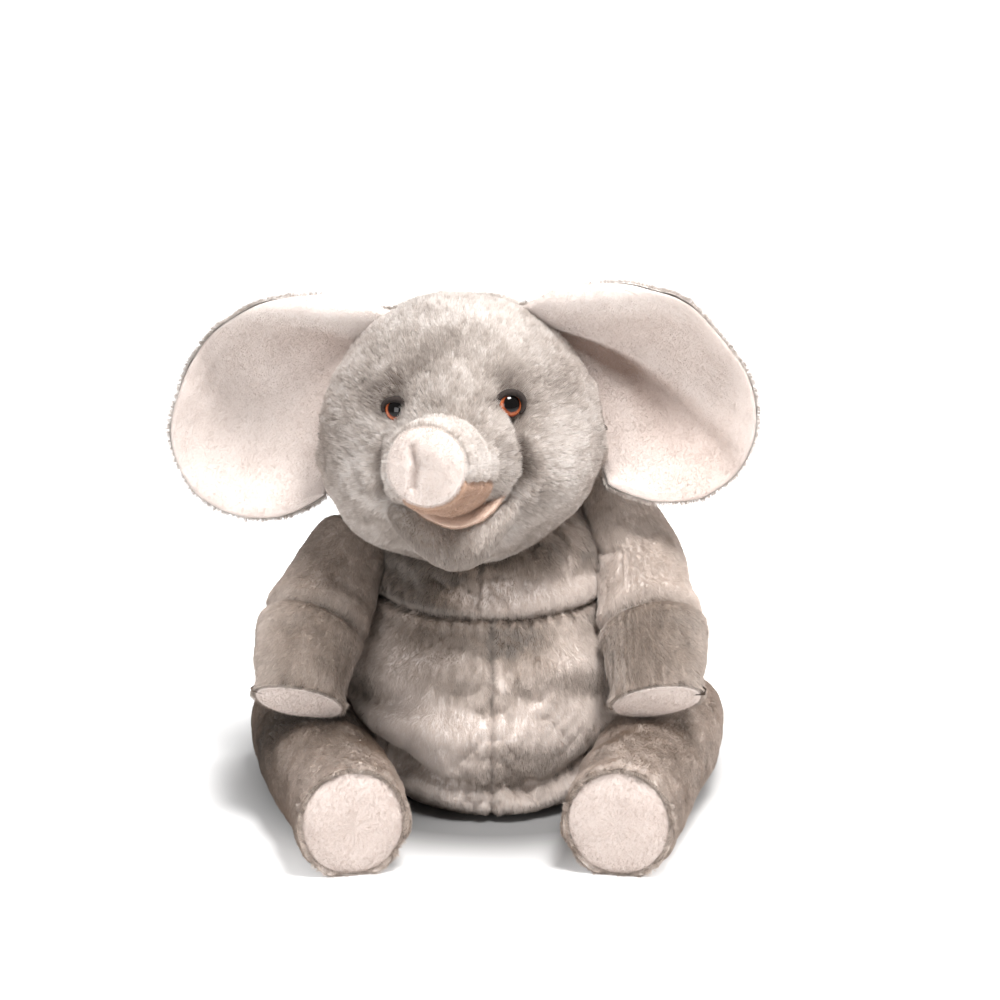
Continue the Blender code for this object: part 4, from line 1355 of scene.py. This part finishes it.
def build_elephant():
    inflate("torso", torso, 96, 44, pins_torso, cap=5.0, grow=0.035)
    inflate("head", head, 84, 44, pins_head, cap=4.0, grow=0.03)
    for side, label in ((1, "left"), (-1, "right")):
        inflate("arm_" + label, arm_tube(side), 44, 44, pins_arm, cap=3.0, grow=0.012)
        inflate("leg_" + label, leg_tube(side), 48, 52, pins_leg, cap=3.5, grow=0.02)
    shifts = settle_cloth()
    build_torso(shifts["torso"])
    build_head(shifts["head"])
    build_eyes()
    build_jaw()
    build_trunk()
    build_tail()
    build_seat()
    build_fillings()
    for side, label in ((1, "left"), (-1, "right")):
        build_ear(side, label)
        build_arm(side, label, shifts["arm_" + label])
        build_leg(side, label, shifts["leg_" + label])


def frame_materials():
    """The washers behind the eyes keep the frame's own shape."""
    nylon = grained("washer_nylon", srgb(196, 196, 190), srgb(214, 214, 208), 300, 0.45, 0.0001)
    for name, made in FRAME["nodes"].items():
        if "washer" in name:
            made.data.materials.clear()
            made.data.materials.append(nylon)


def grey(level):
    return (level, level, level, 1)


def build_stage():
    """A pale floor with a painted contact shadow close to the elephant and a glow for the camera that
    brightens it to the horizon, three soft lamps and an even white world.
    """
    mesh = bpy.data.meshes.new("floor")
    mesh.from_pydata([(-4, -4, 0), (4, -4, 0), (4, 4, 0), (-4, 4, 0)], [], [(0, 1, 2, 3)])
    made, weave, shader = material("studio_floor")
    reach = weave.add(
        "VectorMath", {0: weave.add("TexCoord", {}, "Object")}, "Value", operation="LENGTH")
    glow = weave.ramp(reach, ((0.10, grey(0)), (0.18, grey(0.6)), (0.45, grey(1))))
    seen = weave.add("LightPath", {}, "Is Camera Ray")
    # painted shadow: the floor's colour darkens close to the elephant; for the camera it glows, not at all
    # near the elephant and fully towards the horizon
    weave.feed(shader, {
        "Base Color": weave.ramp(reach, ((0.09, grey(0.22)), (0.145, grey(0.86)))),
        "Emission Strength": weave.math("MULTIPLY", seen, glow),
        "Emission Color": grey(1),
        "Roughness": 0.95,
        "Specular IOR Level": 0.1,
    })
    mesh.materials.append(made)
    link("floor", mesh)
    for name, place, power, size, colour in (
        ("key", (0.30, -0.50, 1.35), 28, 0.45, (1.0, 0.985, 0.975)),
        ("side", (1.0, 0.45, 0.85), 12, 0.7, (1.0, 0.985, 0.98)),
        ("fill", (-0.7, -1.3, 0.5), 7, 0.7, (1.0, 0.985, 0.985)),
    ):
        lamp = bpy.data.lights.new(name, "AREA")
        lamp.energy, lamp.size, lamp.color = power, size, colour
        aim = Vector((0, 0, 0.12)) - Vector(place)
        made = link(name, lamp)
        made.location = place
        made.rotation_euler = aim.to_track_quat("-Z", "Y").to_euler()
    scene = bpy.context.scene
    scene.world = bpy.data.worlds.new("studio")
    weave = Weave(scene.world)
    seen = weave.add("LightPath", {}, "Is Camera Ray")
    weave.feed(weave.nodes["Background"], {
        "Color": grey(1), "Strength": weave.spread(seen, 0.27, 1.0),
    })
    scene.view_settings.view_transform = "Standard"


def build_camera():
    rise, distance = math.radians(16), 1.5
    lens = bpy.data.cameras.new("camera")
    lens.lens, lens.sensor_width = 112, 36
    camera = link("camera", lens)
    camera.rotation_euler = (math.pi / 2 - rise, 0, 0)
    away = Vector((0, -math.cos(rise), math.sin(rise)))
    camera.location = Vector((0.0039, 0, 0.1370)) + distance * away
    bpy.context.scene.camera = camera


build_elephant()
frame_materials()
build_stage()
build_camera()
